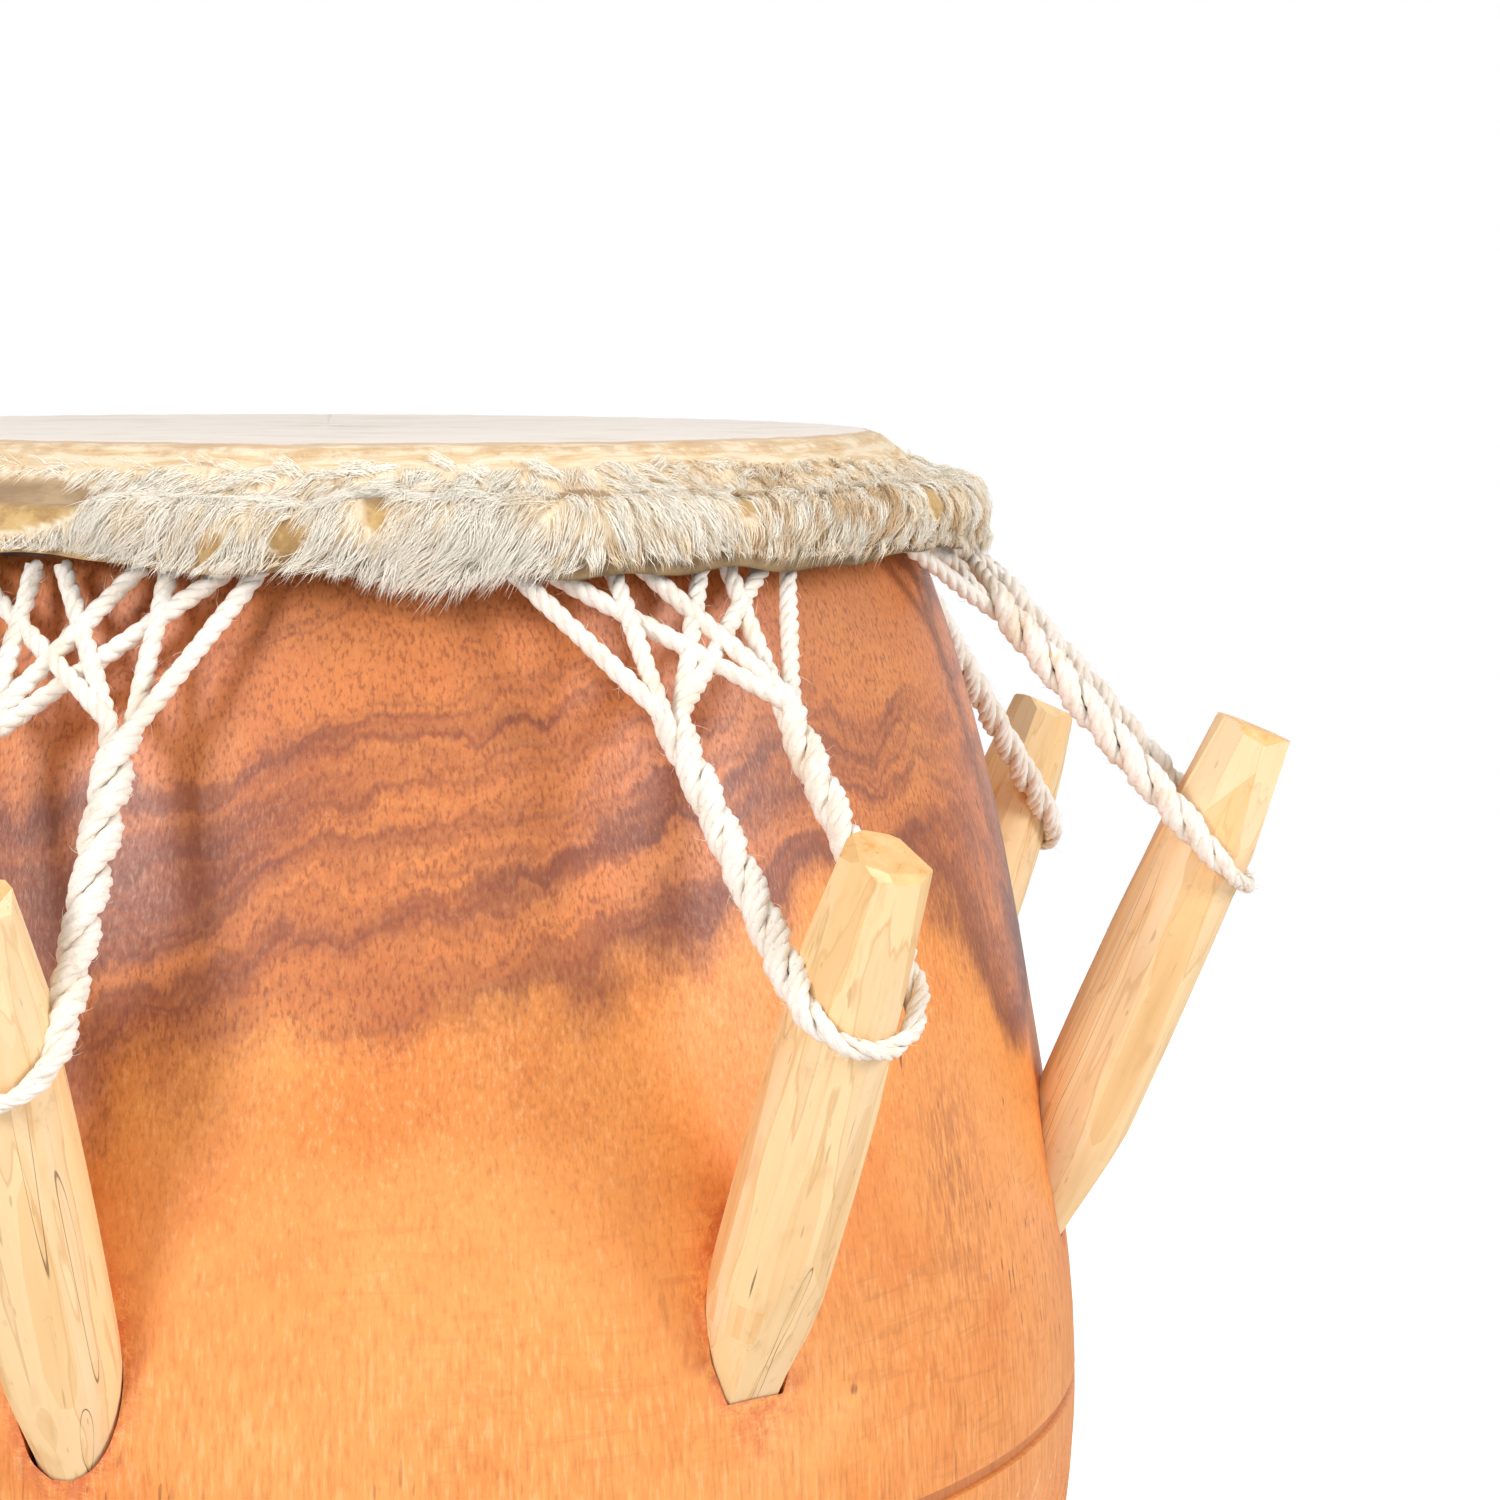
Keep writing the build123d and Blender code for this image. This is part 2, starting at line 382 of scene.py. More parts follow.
# %% [markdown]
# The shell is one log, turned orange-brown under oil, with dark wavy heartwood near the head. Its
# outline is probed on the CAD solid with rays, between two pegs, and spun. Solid 3-D patterns on
# object coordinates suit a carved log: the bands then wrap round it as real growth rings do.


# %% Wood of the shell
def shell_wood():
    wood = Finish("oiled_log", 0.42)
    height = wood.axis("Z")
    from_pith = wood.length(wood.stretched((1, 1, 0), move=(0.0015, 0.003, 0)))
    for scale, reach in ((8.0, 0.012), (30.0, 0.0034), (130.0, 0.0012)):
        wander = wood.maths("SUBTRACT", wood.noise(scale, 3.0, 0.55, place=wood.stretched((1, 1, 0.75))), 0.5)
        from_pith = wood.maths("ADD", from_pith, wood.maths("MULTIPLY", wander, reach * 2))
    ragged = wood.maths("SUBTRACT", wood.noise(1.0, 3.0, 0.65, place=wood.stretched((700, 700, 60))), 0.5)
    from_pith = wood.maths("ADD", from_pith, wood.maths("MULTIPLY", ragged, 0.0011))
    for place, scale, reach in HEART_BULGES:
        away = wood.length(wood.stretched((scale, scale, scale), move=[-v * scale for v in place]))
        from_pith = wood.maths("SUBTRACT", from_pith, wood.maths("MULTIPLY", wood.step(away, 1.0, 0.1), reach))
    heart = wood.step(from_pith, HEART_R + 0.0014, HEART_R - 0.0016)
    band = 0.0
    for scale, share, away in ((230.0, 0.5, 0.7), (620.0, 0.3, 4.3), (1500.0, 0.2, 8.1)):
        layers = wood.joined(wood.maths("MULTIPLY", from_pith, scale), wood.maths("MULTIPLY", height, scale / 40), away)
        layers = wood.moved(layers, wood.stretched((scale / 22, scale / 22, 0)))
        band = wood.maths("ADD", band, wood.maths("MULTIPLY", wood.noise(1.0, 3.0, 0.6, place=layers), share))
    deeper = wood.step(from_pith, HEART_R - 0.014, HEART_R - 0.002)
    cloud = wood.noise(21.0, 4.0, 0.6)
    light = wood.ramp(cloud, (0.25, "e5863a"), (0.5, "f09a4f"), (0.78, "f8ad65"))
    light = wood.mix(wood.maths("MULTIPLY", wood.step(band, 0.5, 0.62), 0.3), light, "d67c3a")
    amber = wood.ramp(cloud, (0.3, "c46e39"), (0.55, "d47f45"), (0.75, "df8f50"))
    # Fewer dark bands and paler wood just under the fur: partly the log's own lighter top, partly painted light that
    # lifts the shade the overhanging fur casts there.
    paler_and_lit_top = wood.step(height, HEAD_Z - 0.078, HEAD_Z - 0.036)
    stained = wood.maths("ADD", band, wood.maths("MULTIPLY", deeper, 0.1))
    stained = wood.maths("SUBTRACT", stained, wood.maths("MULTIPLY", paler_and_lit_top, 0.04))
    dark = wood.mix(wood.maths("MULTIPLY", wood.step(stained, 0.46, 0.62), 0.8), amber, "87462f")
    dark = wood.mix(wood.maths("MULTIPLY", wood.step(stained, 0.57, 0.65), 0.5), dark, "6d382b")
    shade = wood.mix(heart, light, dark)
    low = wood.step(height, HEAD_Z - 0.115, HEAD_Z - 0.185)
    short_fibre = wood.noise(1.0, 2.0, 0.6, place=wood.stretched((1300, 1300, 470)))
    long_fibre = wood.noise(1.0, 2.0, 0.6, place=wood.stretched((1050, 1050, 105)))
    fibre = wood.mix(low, short_fibre, long_fibre)
    mottle = wood.noise(640.0, 2.0, 0.6, place=wood.stretched((1, 1, 0.5)))
    shade = wood.mix(wood.maths("MULTIPLY", wood.step(fibre, 0.50, 0.68), wood.step(heart, -0.2, 1.0, 0.2, 0.55)), shade, "7c3a22")
    glint = wood.maths("MULTIPLY", wood.step(fibre, 0.46, 0.32), wood.step(heart, 0.0, 1.0, 0.24, 0.08))
    shade = wood.mix(glint, shade, "ffcf98")
    shade = wood.mix(wood.maths("MULTIPLY", wood.step(mottle, 0.52, 0.68), 0.15), shade, "a5552c")
    curl = wood.noise(1.0, 3.0, 0.6, distortion=0.8, place=wood.stretched((60, 60, 330)))
    curl = wood.maths("MULTIPLY", wood.step(curl, 0.52, 0.66), wood.step(wood.noise(14.0, 2.0), 0.42, 0.6))
    shade = wood.mix(wood.maths("MULTIPLY", curl, 0.22), shade, "b5652f")
    clump = wood.step(wood.noise(17.0, 2.0), 0.46, 0.66)
    pore = wood.noise(1.0, 1.0, 0.4, place=wood.stretched((980, 980, 105)))
    pore = wood.maths("MULTIPLY", wood.step(pore, 0.66, 0.72), wood.maths("MULTIPLY", low, clump))
    fleck = wood.noise(1.0, 2.0, 0.5, place=wood.stretched((210, 210, 50)))
    pore = wood.maths("MAXIMUM", pore, wood.step(fleck, 0.745, 0.775))
    shade = wood.mix(wood.maths("MULTIPLY", pore, 0.7), shade, "6b3322")
    smear = wood.length(wood.stretched((52, 52, 24), move=SMEAR))
    smear = wood.maths("MULTIPLY", wood.step(smear, 1.0, 0.1), wood.step(long_fibre, 0.36, 0.62))
    shade = wood.mix(wood.maths("MULTIPLY", smear, 0.4), shade, "8f5230")
    fresh_cut = wood.attribute("fresh_cut")
    shade = wood.mix(wood.maths("MULTIPLY", fresh_cut, 0.8), shade, "d9743c")
    ring_cut = wood.attribute("ring_cut")
    shade = wood.mix(wood.maths("MULTIPLY", ring_cut, 0.55), shade, "a9643f")
    rim = wood.attribute("hole_rim")
    rough_rim = wood.maths("MULTIPLY", rim, wood.step(wood.noise(260.0, 4.0, 0.7), 0.36, 0.62))
    shade = wood.mix(wood.maths("MULTIPLY", rough_rim, 0.7), shade, "c9582f")
    shade = wood.mix(wood.attribute("bore"), shade, "8a5a36")
    wood.base(shade)
    wood.feed(wood.maths("ADD", wood.maths("MULTIPLY", fibre, 0.25), 0.30), wood.shader.inputs["Roughness"])
    relief = wood.maths("ADD", wood.maths("MULTIPLY", fibre, -0.6), wood.maths("MULTIPLY", pore, -1.0))
    relief = wood.maths("ADD", relief, wood.maths("MULTIPLY", wood.noise(70.0, 2.0), 0.7))
    relief = wood.maths("ADD", relief, wood.maths("MULTIPLY", rough_rim, -1.2))
    wood.bump(relief, 0.0003, 0.6)
    return wood


HEART_R = 158 * MM


def on_wall(degrees, radius, drop):
    return outwards(math.radians(degrees)) * radius * MM + Vector((0, 0, HEAD_Z - drop * MM))


SMEAR = tuple(-v * s for v, s in zip(on_wall(50, 169, 150), (52, 52, 24)))
HEART_BULGES = ((on_wall(70, 160, 112), 15.0, 0.006), (on_wall(18, 158, 104), 16.0, 0.0018),
                (on_wall(168, 160, 110), 14.0, 0.005))
oiled_log = shell_wood()

# %% [markdown]
# Probing the CAD solid gives the wall's inner and outer radius at any height, so the render's shell
# has the real outline. Rows are close together where the knife has cut a ring or a band of wedges.


# %% The shell's outline from the frame
PROBE_AZIMUTH = places[0].azimuth + math.pi / PEGS
PROBE_START = 0.4
cad_shell = frame["nodes"]["shell"]


def outer_radius(z):
    way = outwards(PROBE_AZIMUTH)
    start = way * PROBE_START + Vector((0, 0, z))
    hit, point, _, _ = cad_shell.ray_cast(start, -way)
    return math.hypot(point.x, point.y)


def inner_radius(z):
    way = outwards(PROBE_AZIMUTH)
    hit, point, _, _ = cad_shell.ray_cast(Vector((0, 0, z)), way)
    return math.hypot(point.x, point.y)


def heights(start, stop, step):
    count = max(1, round(abs(stop - start) / step))
    return [start + (stop - start) * i / count for i in range(count)]


RIM_Z = HEAD_Z - 5.6 * MM
GROOVE_Z = HEAD_Z - 217 * MM
LOW_GROOVE_Z = 62 * MM
GROOVE_HALF = 1.7 * MM
GROOVE_DEPTH = 1.3 * MM
CUTS_TOP = HEAD_Z - 222 * MM
CUTS_DROP = 38 * MM
LOW_CUTS_TOP = LOW_GROOVE_Z + 42 * MM
LOW_CUTS_DROP = 36 * MM


def groove_rows(z):
    """Heights for a knife-cut ring: two sharp lips and a flat floor."""
    return [z + GROOVE_HALF * o for o in (1.12, 1.0, 0.72, 0, -0.72, -1.0, -1.12)]


outer_heights = [HEAD_Z - 1.6 * MM]
outer_heights += heights(RIM_Z, GROOVE_Z + 4.5 * MM, 10 * MM)
outer_heights += groove_rows(GROOVE_Z)
outer_heights += heights(CUTS_TOP + 0.9 * MM, CUTS_TOP - CUTS_DROP, 1.35 * MM)
outer_heights += heights(CUTS_TOP - CUTS_DROP, LOW_CUTS_TOP, 12 * MM)
outer_heights += heights(LOW_CUTS_TOP, LOW_CUTS_TOP - LOW_CUTS_DROP, 1.6 * MM)
outer_heights += heights(LOW_CUTS_TOP - LOW_CUTS_DROP, LOW_GROOVE_Z + 2.5 * MM, 2 * MM)
outer_heights += groove_rows(LOW_GROOVE_Z)
outer_heights += heights(LOW_GROOVE_Z - 4.5 * MM, 3.2 * MM, 10 * MM) + [3.2 * MM, 1.2 * MM]


def smooth_radius(z):
    """The outline without the CAD's own ring grooves, which are carved again below."""
    span = 3 * MM
    for ring in (GROOVE_Z, LOW_GROOVE_Z):
        if abs(z - ring) < span:
            above = outer_radius(ring + span)
            below = outer_radius(ring - span)
            return below + (above - below) * ((z - ring) / (2 * span) + 0.5)
    return outer_radius(z)


outline = [(smooth_radius(z), z) for z in outer_heights]
outline.append((outer_radius(1.2 * MM) - 1.6 * MM, 0.0))
outline.append((inner_radius(0.6 * MM) + 1.5 * MM, 0.0))
for z in heights(1.5 * MM, RIM_Z, 45 * MM) + [RIM_Z, HEAD_Z - 2.2 * MM]:
    outline.append((inner_radius(z), z))
print("shell rows", len(outline), "belly", round(max(r for r, z in outline), 4))

# %% [markdown]
# The band of slanting wedge cuts under the ring is traditional carving. Every cut owns eight columns of
# the mesh. The rows are sheared so the columns run along the slant, and the columns beside the middle
# one slide out as the cut widens, so each lip is a clean edge and not a staircase.

# %% Carve the ring grooves and the wedge cuts
CUTS = 82
COLUMNS = 7
CUT_HALF = 3.6 * MM
CUT_DEPTH = 2.0 * MM
LIP = 0.35 * MM


def slant(depth):
    """How far a cut has swung round, in degrees, at a depth in millimetres below its point."""
    return -(0.16 * depth + 0.0205 * depth ** 2)


def cut_width(share):
    """Half width as a share: a long taper from the point, then a round end."""
    if share <= 0 or share >= 1:
        return 0.0
    return min(1.0, share / 0.55) * min(1.0, math.sqrt((1 - share) / 0.14))


def carved_place(azimuth, radius, z):
    """Where a point of the plain shell goes: sheared along the slant, opened at a cut, pressed into a ring."""
    period = math.tau / CUTS
    column = round(azimuth / (period / COLUMNS))
    within = (column + COLUMNS // 2) % COLUMNS - COLUMNS // 2
    base = (column - within) * period / COLUMNS
    depth = (CUTS_TOP - z) / MM
    low_depth = (LOW_CUTS_TOP - z) / MM
    swing = slant(min(max(depth, 0), CUTS_DROP / MM))
    swing -= slant(min(max(low_depth, 0), LOW_CUTS_DROP / MM)) * 0.7
    half = CUT_HALF * cut_width(depth * MM / CUTS_DROP)
    half = max(half, CUT_HALF * 0.62 * cut_width(low_depth * MM / LOW_CUTS_DROP))
    opened = max(half, LIP)
    side = abs(within)
    rest = side * period / COLUMNS
    spread = {0: 0, 1: opened / radius, 2: (opened + 0.5 * MM) / radius}
    offset = math.copysign(spread.get(side, rest), within)
    sunk = CUT_DEPTH * half / CUT_HALF if within == 0 else 0.0
    for ring in (GROOVE_Z, LOW_GROOVE_Z):
        inside = abs(z - ring) / GROOVE_HALF
        if inside < 0.99:
            sunk += GROOVE_DEPTH
    return base + offset + math.radians(swing), radius - sunk


def carve(bm):
    limits = {}
    for vert in bm.verts:
        radius = math.hypot(vert.co.x, vert.co.y)
        z = vert.co.z
        key = round(z, 6)
        if key not in limits:
            limits[key] = smooth_radius(max(z, 1.2 * MM)) - 6 * MM
        if radius < limits[key] or z > RIM_Z or z < 1 * MM:
            continue
        azimuth, radius = carved_place(math.atan2(vert.co.x, -vert.co.y), radius, z)
        vert.co.x = radius * math.sin(azimuth)
        vert.co.y = -radius * math.cos(azimuth)


bm = spun(outline, CUTS * COLUMNS, closed=True)
carve(bm)
shell_mesh = mesh_of(bm, "shell_carved")
print("shell triangles", 2 * len(shell_mesh.polygons))

# %% [markdown]
# The slanting peg holes are cut with a boolean, because a hole that crosses the curved wall at a slant
# has no tidy rows of its own. Each cutter is a rough tube, a little ragged, like a burnt and reamed hole.


# %% Bore the peg holes
HOLE_SIDES = 44
HOLE_GAP = 0.35 * MM
STICK_DROPS = np.array([0, 4, 13, 24, 31, 38, 50, 72, 96, 104, 109, 115, 121, 126, 184]) * MM
STICK_SIZES = np.array([8.6, 9.4, 10.5, 11.4, 11.3, 11.1, 11.4, 11.7, 11.6, 11.2, 10.5, 9.4, 8.3, 7.9, 7.6]) * MM
FOOT_TILT = math.radians(9)
FOOT_EARLY = dict(zip([place.name for place in places], (0.0, 4.0, 1.0, 2.0, 0.0, 3.0, 1.0, 2.0)))


def stick_radius(place, below_top):
    """A stick's half thickness before whittling, at a distance below its top. Some feet round in early."""
    late = np.clip((np.asarray(below_top) - 84 * MM) / (16 * MM), 0, 1)
    return np.interp(below_top + late * FOOT_EARLY[place.name] * MM, STICK_DROPS, STICK_SIZES)


def front_limit(place, below_top):
    """How far the flat on a foot's outer side lies from the axis: the knife went deeper towards the tip."""
    at_hole = 8.9 * MM - FOOT_EARLY[place.name] * 0.7 * MM
    return at_hole + (118 * MM - below_top) * math.tan(FOOT_TILT)


def hole_cutter(place, seed):
    """A ragged slanting tube that follows the peg, a little wider than it."""
    rng = random.Random(seed)
    bm = bmesh.new()
    length = place.top - place.tip
    drops = heights(60 * MM, 128 * MM, 4 * MM) + [128 * MM, length + 16 * MM]
    rings = []
    phases = [rng.uniform(0, math.tau) for _ in range(3)]
    for drop in drops:
        size = float(stick_radius(place, min(max(drop, 72 * MM), length))) + HOLE_GAP
        ring = []
        for i in range(HOLE_SIDES):
            angle = math.tau * i / HOLE_SIDES
            ragged = 0.22 * math.sin(3 * angle + phases[0]) + 0.14 * math.sin(7 * angle + phases[1] + drop / (3 * MM))
            reach = size + ragged * MM
            outer = max(reach * math.sin(angle) - 0.35 * MM, -front_limit(place, drop) - HOLE_GAP)
            ring.append((reach * math.cos(angle), outer, length - drop))
        rings.append([bm.verts.new(p) for p in place.world(ring)])
    loops = [[bm.edges.new((ring[i - 1], ring[i])) for i in range(HOLE_SIDES)] for ring in rings]
    for upper, lower in zip(loops, loops[1:]):
        bmesh.ops.bridge_loops(bm, edges=upper + lower)
    bmesh.ops.holes_fill(bm, edges=loops[0] + loops[-1], sides=0)
    bmesh.ops.recalc_face_normals(bm, faces=bm.faces)
    cutter = bpy.data.objects.new("cutter", mesh_of(bm, "cutter"))
    bpy.context.collection.objects.link(cutter)
    return cutter


shell = bpy.data.objects.new("shell_blank", shell_mesh)
bpy.context.collection.objects.link(shell)
cutters = [hole_cutter(place, 11 + i) for i, place in enumerate(places)]
cutter_group = bpy.data.collections.new("cutters")
for cutter in cutters:
    cutter_group.objects.link(cutter)
boring = shell.modifiers.new("peg_holes", "BOOLEAN")
boring.operand_type = "COLLECTION"
boring.collection = cutter_group
boring.operation = "DIFFERENCE"
boring.solver = "EXACT"
depsgraph = bpy.context.evaluated_depsgraph_get()
bored = bpy.data.meshes.new_from_object(shell.evaluated_get(depsgraph))
bpy.data.objects.remove(shell)
for cutter in cutters:
    bpy.data.objects.remove(cutter)
bpy.data.collections.remove(cutter_group)
shell = keep("carved_shell", bored, oiled_log, smooth_angle=28)
print("bored shell faces", len(bored.polygons))

# %% [markdown]
# The finish has to know where the knife has been: in the cuts the wood is fresher and redder, round the
# holes it is torn. Those places are worked out once for every point and stored on the mesh.


# %% Mark fresh cuts, hole rims and the bore
def mark_shell(mesh):
    points = points_of(mesh)
    radius = np.hypot(points[:, 0], points[:, 1])
    rows = np.unique(np.round(points[:, 2], 4))
    surface = np.array([smooth_radius(min(max(z, 1.2 * MM), RIM_Z)) for z in rows])
    skin_deep = np.interp(points[:, 2], rows, surface) - radius
    cut = np.clip(skin_deep / (0.9 * MM), 0, 1) * (skin_deep < 4 * MM) * (points[:, 2] < RIM_Z - 5 * MM)
    bore = (skin_deep > 5 * MM).astype(float)
    in_ring = np.minimum(np.abs(points[:, 2] - GROOVE_Z), np.abs(points[:, 2] - LOW_GROOVE_Z)) < 1.05 * GROOVE_HALF
    rim = np.zeros(len(points))
    for place in places:
        local = place.local(points)
        drop = place.top - place.tip - local[:, 2]
        reach = np.hypot(local[:, 0], local[:, 1]) - stick_radius(place, drop)
        rim = np.maximum(rim, np.exp(-np.clip(reach - 1.2 * MM, 0, 1) / (1.9 * MM)) * (drop > 60 * MM))
        cut = np.where(reach < 3 * MM, 0, cut)
    remember(mesh, "fresh_cut", np.where(in_ring, 0, cut))
    remember(mesh, "ring_cut", np.where(in_ring, cut, 0))
    remember(mesh, "bore", bore)
    remember(mesh, "hole_rim", rim)


mark_shell(bored)
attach(shell, "shell")
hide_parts("shell")

# %% [markdown]
# The pegs are whittled from pale sticks. A knife takes off one flat at a time, so the code does the
# same: a round tapering stick is sliced by planes, and every slice is closed with one flat face. Each
# face keeps a tone of its own, since every cut shows the wood at another angle.

# %% Wood of the pegs
def peg_wood():
    wood = Finish("whittled_stick", 0.5)
    local = wood.moved(wood.attribute("along_stick", "Vector"), wood.attribute("stick_shift"))
    below_top = wood.axis("Z", wood.attribute("along_stick", "Vector"))
    streak = wood.noise(1.0, 4.0, 0.6, place=wood.stretched((520, 520, 16), place=local))
    broad = wood.noise(1.0, 3.0, 0.5, place=wood.stretched((110, 110, 11), place=local))
    blotch = wood.noise(1.0, 3.0, 0.6, place=wood.stretched((75, 75, 38), place=local))
    shade = wood.ramp(broad, (0.3, "efc78e"), (0.5, "f9d6a1"), (0.7, "fde3ba"))
    shade = wood.mix(wood.maths("MULTIPLY", wood.step(streak, 0.52, 0.72), 0.38), shade, "dda862")
    year = wood.step(wood.maths("ABSOLUTE", wood.maths("SUBTRACT", broad, 0.56)), 0.014, 0.002)
    shade = wood.mix(wood.maths("MULTIPLY", wood.step(broad, 0.555, 0.565), 0.35), shade, "e6b578")
    shade = wood.mix(wood.maths("MULTIPLY", year, 0.4), shade, "cf9a5a")
    tone = wood.attribute("facet_tone")
    shade = wood.mix(wood.maths("MULTIPLY", wood.step(tone, 0.5, 1.0), 0.45), shade, "e3ad69")
    shade = wood.mix(wood.maths("MULTIPLY", wood.step(tone, 0.45, 0.0), 0.35), shade, "f0dcb8")
    shade = wood.mix(wood.maths("MULTIPLY", wood.step(blotch, 0.58, 0.72), 0.35), shade, "cf9552")
    rings = wood.noise(1.0, 3.0, 0.6, place=wood.stretched((230, 230, 230), place=local))
    cut_end = wood.ramp(rings, (0.3, "dca056"), (0.5, "eab878"), (0.72, "f2c68c"))
    shade = wood.mix(wood.attribute("end_grain"), shade, cut_end)
    pin = wood.noise(1.0, 1.0, 0.4, place=wood.stretched((900, 900, 120), place=local))
    shade = wood.mix(wood.maths("MULTIPLY", wood.step(pin, 0.73, 0.78), 0.4), shade, "a8783f")
    check = wood.noise(1.0, 1.0, 0.4, place=wood.stretched((150, 150, 6), place=local))
    check = wood.step(wood.maths("ABSOLUTE", wood.maths("SUBTRACT", check, 0.69)), 0.004, 0.001)
    check = wood.maths("MULTIPLY", check, wood.step(below_top, 0.03, 0.05))
    shade = wood.mix(wood.maths("MULTIPLY", check, 0.8), shade, "7c5430")
    knot = wood.step(wood.cells(1.0, place=wood.stretched((24, 24, 12), place=local)), 0.03, 0.012)
    shade = wood.mix(wood.maths("MULTIPLY", knot, 0.8), shade, "74512f")
    seat = wood.maths("ABSOLUTE", wood.maths("SUBTRACT", below_top, SEAT_DROP))
    grimy = wood.maths("MULTIPLY", wood.step(seat, 0.006, 0.001), wood.step(wood.noise(190.0, 3.0, 0.7), 0.5, 0.75))
    shade = wood.mix(wood.maths("MULTIPLY", grimy, 0.25), shade, "a08058")
    handled = wood.maths("MULTIPLY", wood.step(wood.noise(150.0, 4.0, 0.7), 0.62, 0.74), 0.25)
    shade = wood.mix(handled, shade, "b08a5c")
    wood.base(shade)
    relief = wood.maths("ADD", wood.maths("MULTIPLY", streak, 0.7), wood.maths("MULTIPLY", broad, 0.6))
    relief = wood.maths("ADD", relief, wood.maths("MULTIPLY", check, -1.5))
    wood.bump(relief, 0.00025, 0.6)
    return wood


SEAT_DROP = 40 * MM
whittled_stick = peg_wood()

# %% Whittle the pegs
STICK_SIDES = 40
HIP_DROP = 25 * MM


def slice_off(bm, distance, angle, drop, tilt):
    """One knife cut: a plane at a distance from the axis, facing an angle and leaning by a tilt in degrees."""
    facing = Vector((math.cos(angle), math.sin(angle), 0))
    lean = math.radians(tilt)
    normal = facing * math.cos(lean) + Vector((0, 0, math.sin(lean)))
    point = facing * distance + Vector((0, 0, -drop))
    everything = bm.verts[:] + bm.edges[:] + bm.faces[:]
    cut = bmesh.ops.bisect_plane(bm, geom=everything, plane_co=point, plane_no=normal, clear_outer=True)
    edges = [piece for piece in cut["geom_cut"] if isinstance(piece, bmesh.types.BMEdge)]
    if len(edges) > 2:
        bmesh.ops.holes_fill(bm, edges=edges, sides=0)


def whittle(place, seed):
    """The stick in its own frame, Z up, its top at zero, sliced like the real one."""
    rng = random.Random(seed)
    length = place.top - place.tip
    drops = [0.0] + [float(d) for d in STICK_DROPS[1:-1]] + [length]
    drops = sorted(drops + heights(6 * MM, 96 * MM, 6 * MM))
    bm = spun([(float(stick_radius(place, d)), -d) for d in drops], STICK_SIDES, closed=False)
    ends = [edge for edge in bm.edges if edge.is_boundary]
    bmesh.ops.holes_fill(bm, edges=ends, sides=0)
    bmesh.ops.recalc_face_normals(bm, faces=bm.faces)
    count = rng.choice((9, 10, 11))
    turn = rng.uniform(0, math.tau)
    for i in range(count):
        angle = turn + math.tau * (i + rng.uniform(-0.16, 0.16)) / count
        hip = float(stick_radius(place, HIP_DROP))
        slice_off(bm, hip * rng.uniform(0.955, 0.985), angle, HIP_DROP, rng.uniform(6.2, 7.6))
    count = rng.choice((8, 9, 10))
    turn = rng.uniform(0, math.tau)
    for i in range(count):
        angle = turn + math.tau * (i + rng.uniform(-0.2, 0.2)) / count
        middle = float(stick_radius(place, 70 * MM))
        slice_off(bm, middle * rng.uniform(0.945, 0.985), angle, 70 * MM, rng.uniform(-0.5, 0.4))
    for i in range(3):
        angle = turn + math.tau * (i + rng.uniform(0, 1)) / 3
        drop = rng.uniform(30, 40) * MM
        slice_off(bm, float(stick_radius(place, drop)) * rng.uniform(0.935, 0.965), angle, drop, rng.uniform(2.2, 3.4))
    slice_off(bm, front_limit(place, 118 * MM), -math.pi / 2, 118 * MM, -math.degrees(FOOT_TILT))
    slice_off(bm, 0, rng.uniform(0, math.tau), rng.uniform(0.4, 0.8) * MM, 90 - rng.uniform(2, 5))
    for i in range(rng.choice((3, 4, 5))):
        reach = float(stick_radius(place, 0)) * rng.uniform(0.72, 0.86)
        slice_off(bm, reach, rng.uniform(0, math.tau), 0.9 * MM, rng.uniform(38, 66))
    bmesh.ops.dissolve_degenerate(bm, edges=bm.edges, dist=0.02 * MM)
    return bm


def finish_peg(bm, place, seed):
    """Stores what the wood's finish reads, then stands the stick in its hole."""
    rng = random.Random(seed)
    mesh = mesh_of(bm, place.name + "_whittled")
    length = place.top - place.tip
    local = points_of(mesh) * (1, 1, -1)
    remember(mesh, "along_stick", local)
    remember(mesh, "stick_shift", np.full(len(local), rng.uniform(0, 3)))
    tones = [rng.random() if face.area > 12 * MM * MM else 0.5 for face in mesh.polygons]
    ends = [float(face.normal.z > 0.75) for face in mesh.polygons]
    mesh.attributes.new("facet_tone", "FLOAT", "FACE").data.foreach_set("value", tones)
    mesh.attributes.new("end_grain", "FLOAT", "FACE").data.foreach_set("value", ends)
    standing = local * (1, 1, -1) + (0, 0, length)
    place_points(mesh, place.world(standing))
    return mesh


for number, place in enumerate(places, start=1):
    stick = finish_peg(whittle(place, 40 + number), place, 90 + number)
    peg = keep(f"whittled_peg_{number}", stick, whittled_stick, smooth_angle=12)
    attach(peg, place.name)
    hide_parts(place.name)
print("faces of a peg", len(stick.polygons))

# %% [markdown]
# The skin is one goat hide: scraped pale on the head, yellow over the shoulder, brown rawhide in the
# fold. Its outline follows the CAD fold, and a few seeded ripples make it uneven, as a hide is. The same
# ripples place the roots of the hair later, so hair and hide never part.


